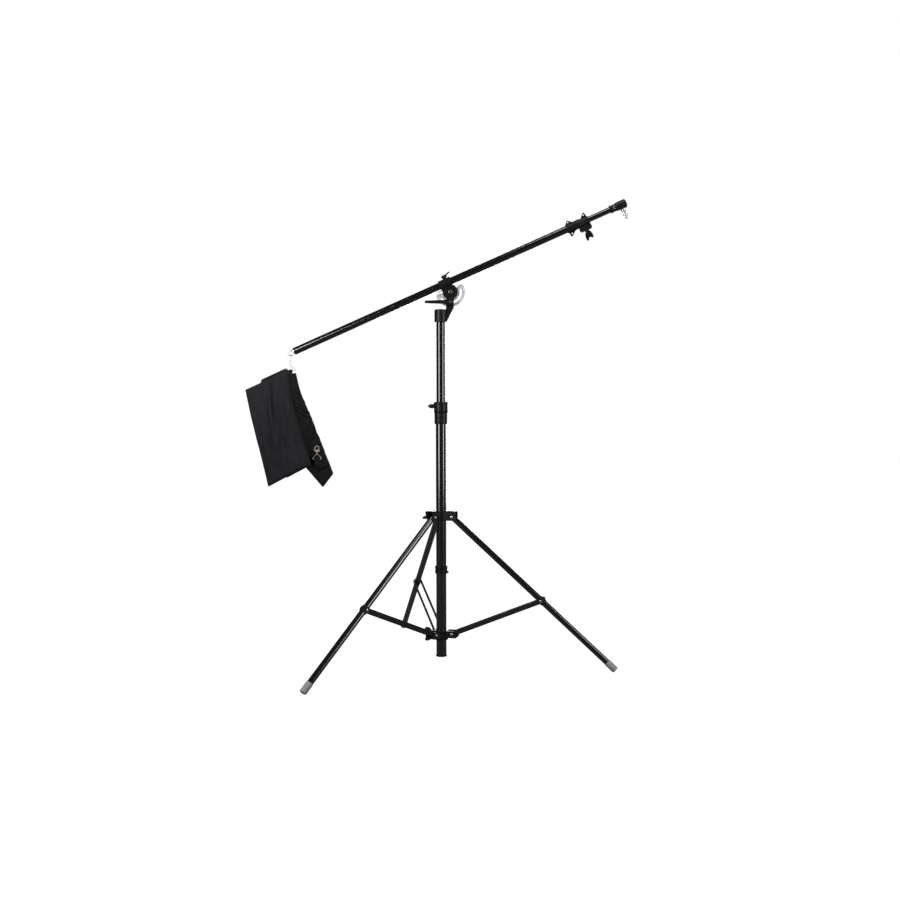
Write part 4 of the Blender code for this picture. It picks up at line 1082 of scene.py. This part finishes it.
def front_drop(u, v):
    """The top edge steps up where the panel overlaps, and the bottom edge steps down."""
    stepped = fade(u - panel_line(v), -0.008, 0.008)
    raised = (CORNER_RISE + PANEL_STEP * stepped) * (1.0 - 0.75 * fade(u, 0.92, 1.0))
    return -raised * (1.0 - v) ** 6 + (3.5 * stepped - 1.5) * v**8


FRONT_LEFT = [(-161, 24, -76), (-141.5, 22, -157), (-120, 19, -240), (-99.5, 15.5, -322), (-80, 12, -403)]
FRONT_RIGHT = [(-3, -1, -7), (3, -12, -82), (23, -24, -160), (47, -31, -241), (76, -38, -322)]
front_cloth = cloth_finish("front_nylon", 175.0, 330.0, (0.0065, 0.007, 0.0095), (0.0085, 0.009, 0.012))
front_pouch = cloth_shell("front_pouch", FRONT_LEFT, FRONT_RIGHT, front_folds, 0.3, front_drop)
fitted(front_pouch, "sandbag", front_cloth, ["bag_front_pouch"], BAG, 80.0)


REAR_FULLNESS, HEM_LIFT = 5.5, 3.0
REAR_SWELL, CREASE_HEIGHT = 2.2, 1.5
CORNER_DROP, CORNER_SHARE = 58.0, 0.63


def hem_line(u):
    """How far down the hem of the rear pouch runs, arched between the sides."""
    return 0.945 - 0.045 * math.sin(math.pi * u) - 0.04 * u


def rear_folds(u, v):
    """Wrinkles across the rear pouch, strongest above the hem that stands off its lowest part."""
    above = 1.0 - fade(v, hem_line(u), hem_line(u) + 0.006)
    fold = REAR_SWELL * math.sin(9.0 * u + 41.0 * v) * math.sin(12.0 * v + 4.0 * u)
    crease = math.sin(88.0 * v - 10.0 * u + 2.0 * math.sin(17.0 * v))
    fold += CREASE_HEIGHT * crease * (0.3 + 0.7 * math.sin(7.0 * v + 2.0) ** 2)
    full = REAR_FULLNESS * max(0.0, math.sin(math.pi * u)) ** 0.6 * max(0.0, math.sin(math.pi * v)) ** 0.4
    hem = HEM_LIFT * above * fade(v, 0.1, 0.5)
    return fold * math.sin(math.pi * v) * (0.35 + 0.65 * above), full + hem


def rear_drop(u, v):
    """The rear pouch hangs to a corner, nearer its right side."""
    return CORNER_DROP * min(u / CORNER_SHARE, (1.0 - u) / (1.0 - CORNER_SHARE)) * v**3


REAR_LEFT = [(-8, 1, -12), (-4, -5, -90), (14, -13, -172), (33, -16, -254), (48, -12, -328)]
REAR_RIGHT = [(18, 2.5, -8), (34, 9.5, -75), (61, 22.5, -143)]
REAR_RIGHT += [(87, 33.5, -213), (115, 42.5, -286), (141, 53.5, -358)]
rear_cloth = cloth_finish("rear_nylon", 85.0, 350.0, (0.0035, 0.0035, 0.0036), (0.0065, 0.0065, 0.006))
rear_pouch = cloth_shell("rear_pouch", REAR_LEFT, REAR_RIGHT, rear_folds, 1.0, rear_drop, 80, 180)
fitted(rear_pouch, "sandbag", rear_cloth, ["bag_rear_pouch"], BAG, 80.0)


# Black webbing, made darker than the nylon as a painted shade for the shadow that falls under the swivel eye.
webbing_cloth = hard_finish(
    "black_webbing_and_painted_shade",
    (0.004, 0.004, 0.004),
    (0.02, 0.02, 0.02),
    0.8,
    grain=1500.0,
    bump=0.9,
    depth=0.4,
    stretch=(1.0, 1.0, 3.0),
)
thread_finish = hard_finish(
    "bonded_thread", (0.03, 0.03, 0.032), (0.05, 0.05, 0.05), 0.6, grain=3000.0, bump=0.5
)


def webbing(name, half_width, foot, place, node):
    """Webbing folded over a bar, both ends down at the cloth, with two rows of stitches across each end."""
    inside, outside = 2.0, 3.4
    outline = [(outside, foot), (outside, 0.5 * foot)] + arc(0, 0, outside, 0, 180, 24)
    outline += [(-outside, 0.5 * foot), (-outside, foot), (-inside, foot), (-inside, 0.5 * foot)]
    outline += arc(0, 0, inside, 180, 0, 24) + [(inside, 0.5 * foot), (inside, foot)]
    band = moved(plate(name, outline, -half_width, half_width, 0.3), turn(90.0, "X"))
    fitted(band, "sandbag", webbing_cloth, [node], place)
    seam_end = half_width - 1.6
    for row, height in enumerate((foot + 3.0, foot + 7.0)):
        for letter, side in (("a", 1.0), ("b", -1.0)):
            across = side * (outside + 0.1)
            ends = [(across, -seam_end, height), (across, seam_end, height)]
            stitches = bent_wire(f"{name}_stitch_{row}{letter}", ends, 0.3)
            fitted(stitches, "sandbag", thread_finish, place=place)


webbing("bag_web_loop", 6.0, -16.0, BAG @ turn(-90.0, "Z"), "web_loop")
webbing("bag_side_web", 11.0, -18.0, SIDE @ shift(0, 0, -SIDE_BAR_DROP), "side_strap")
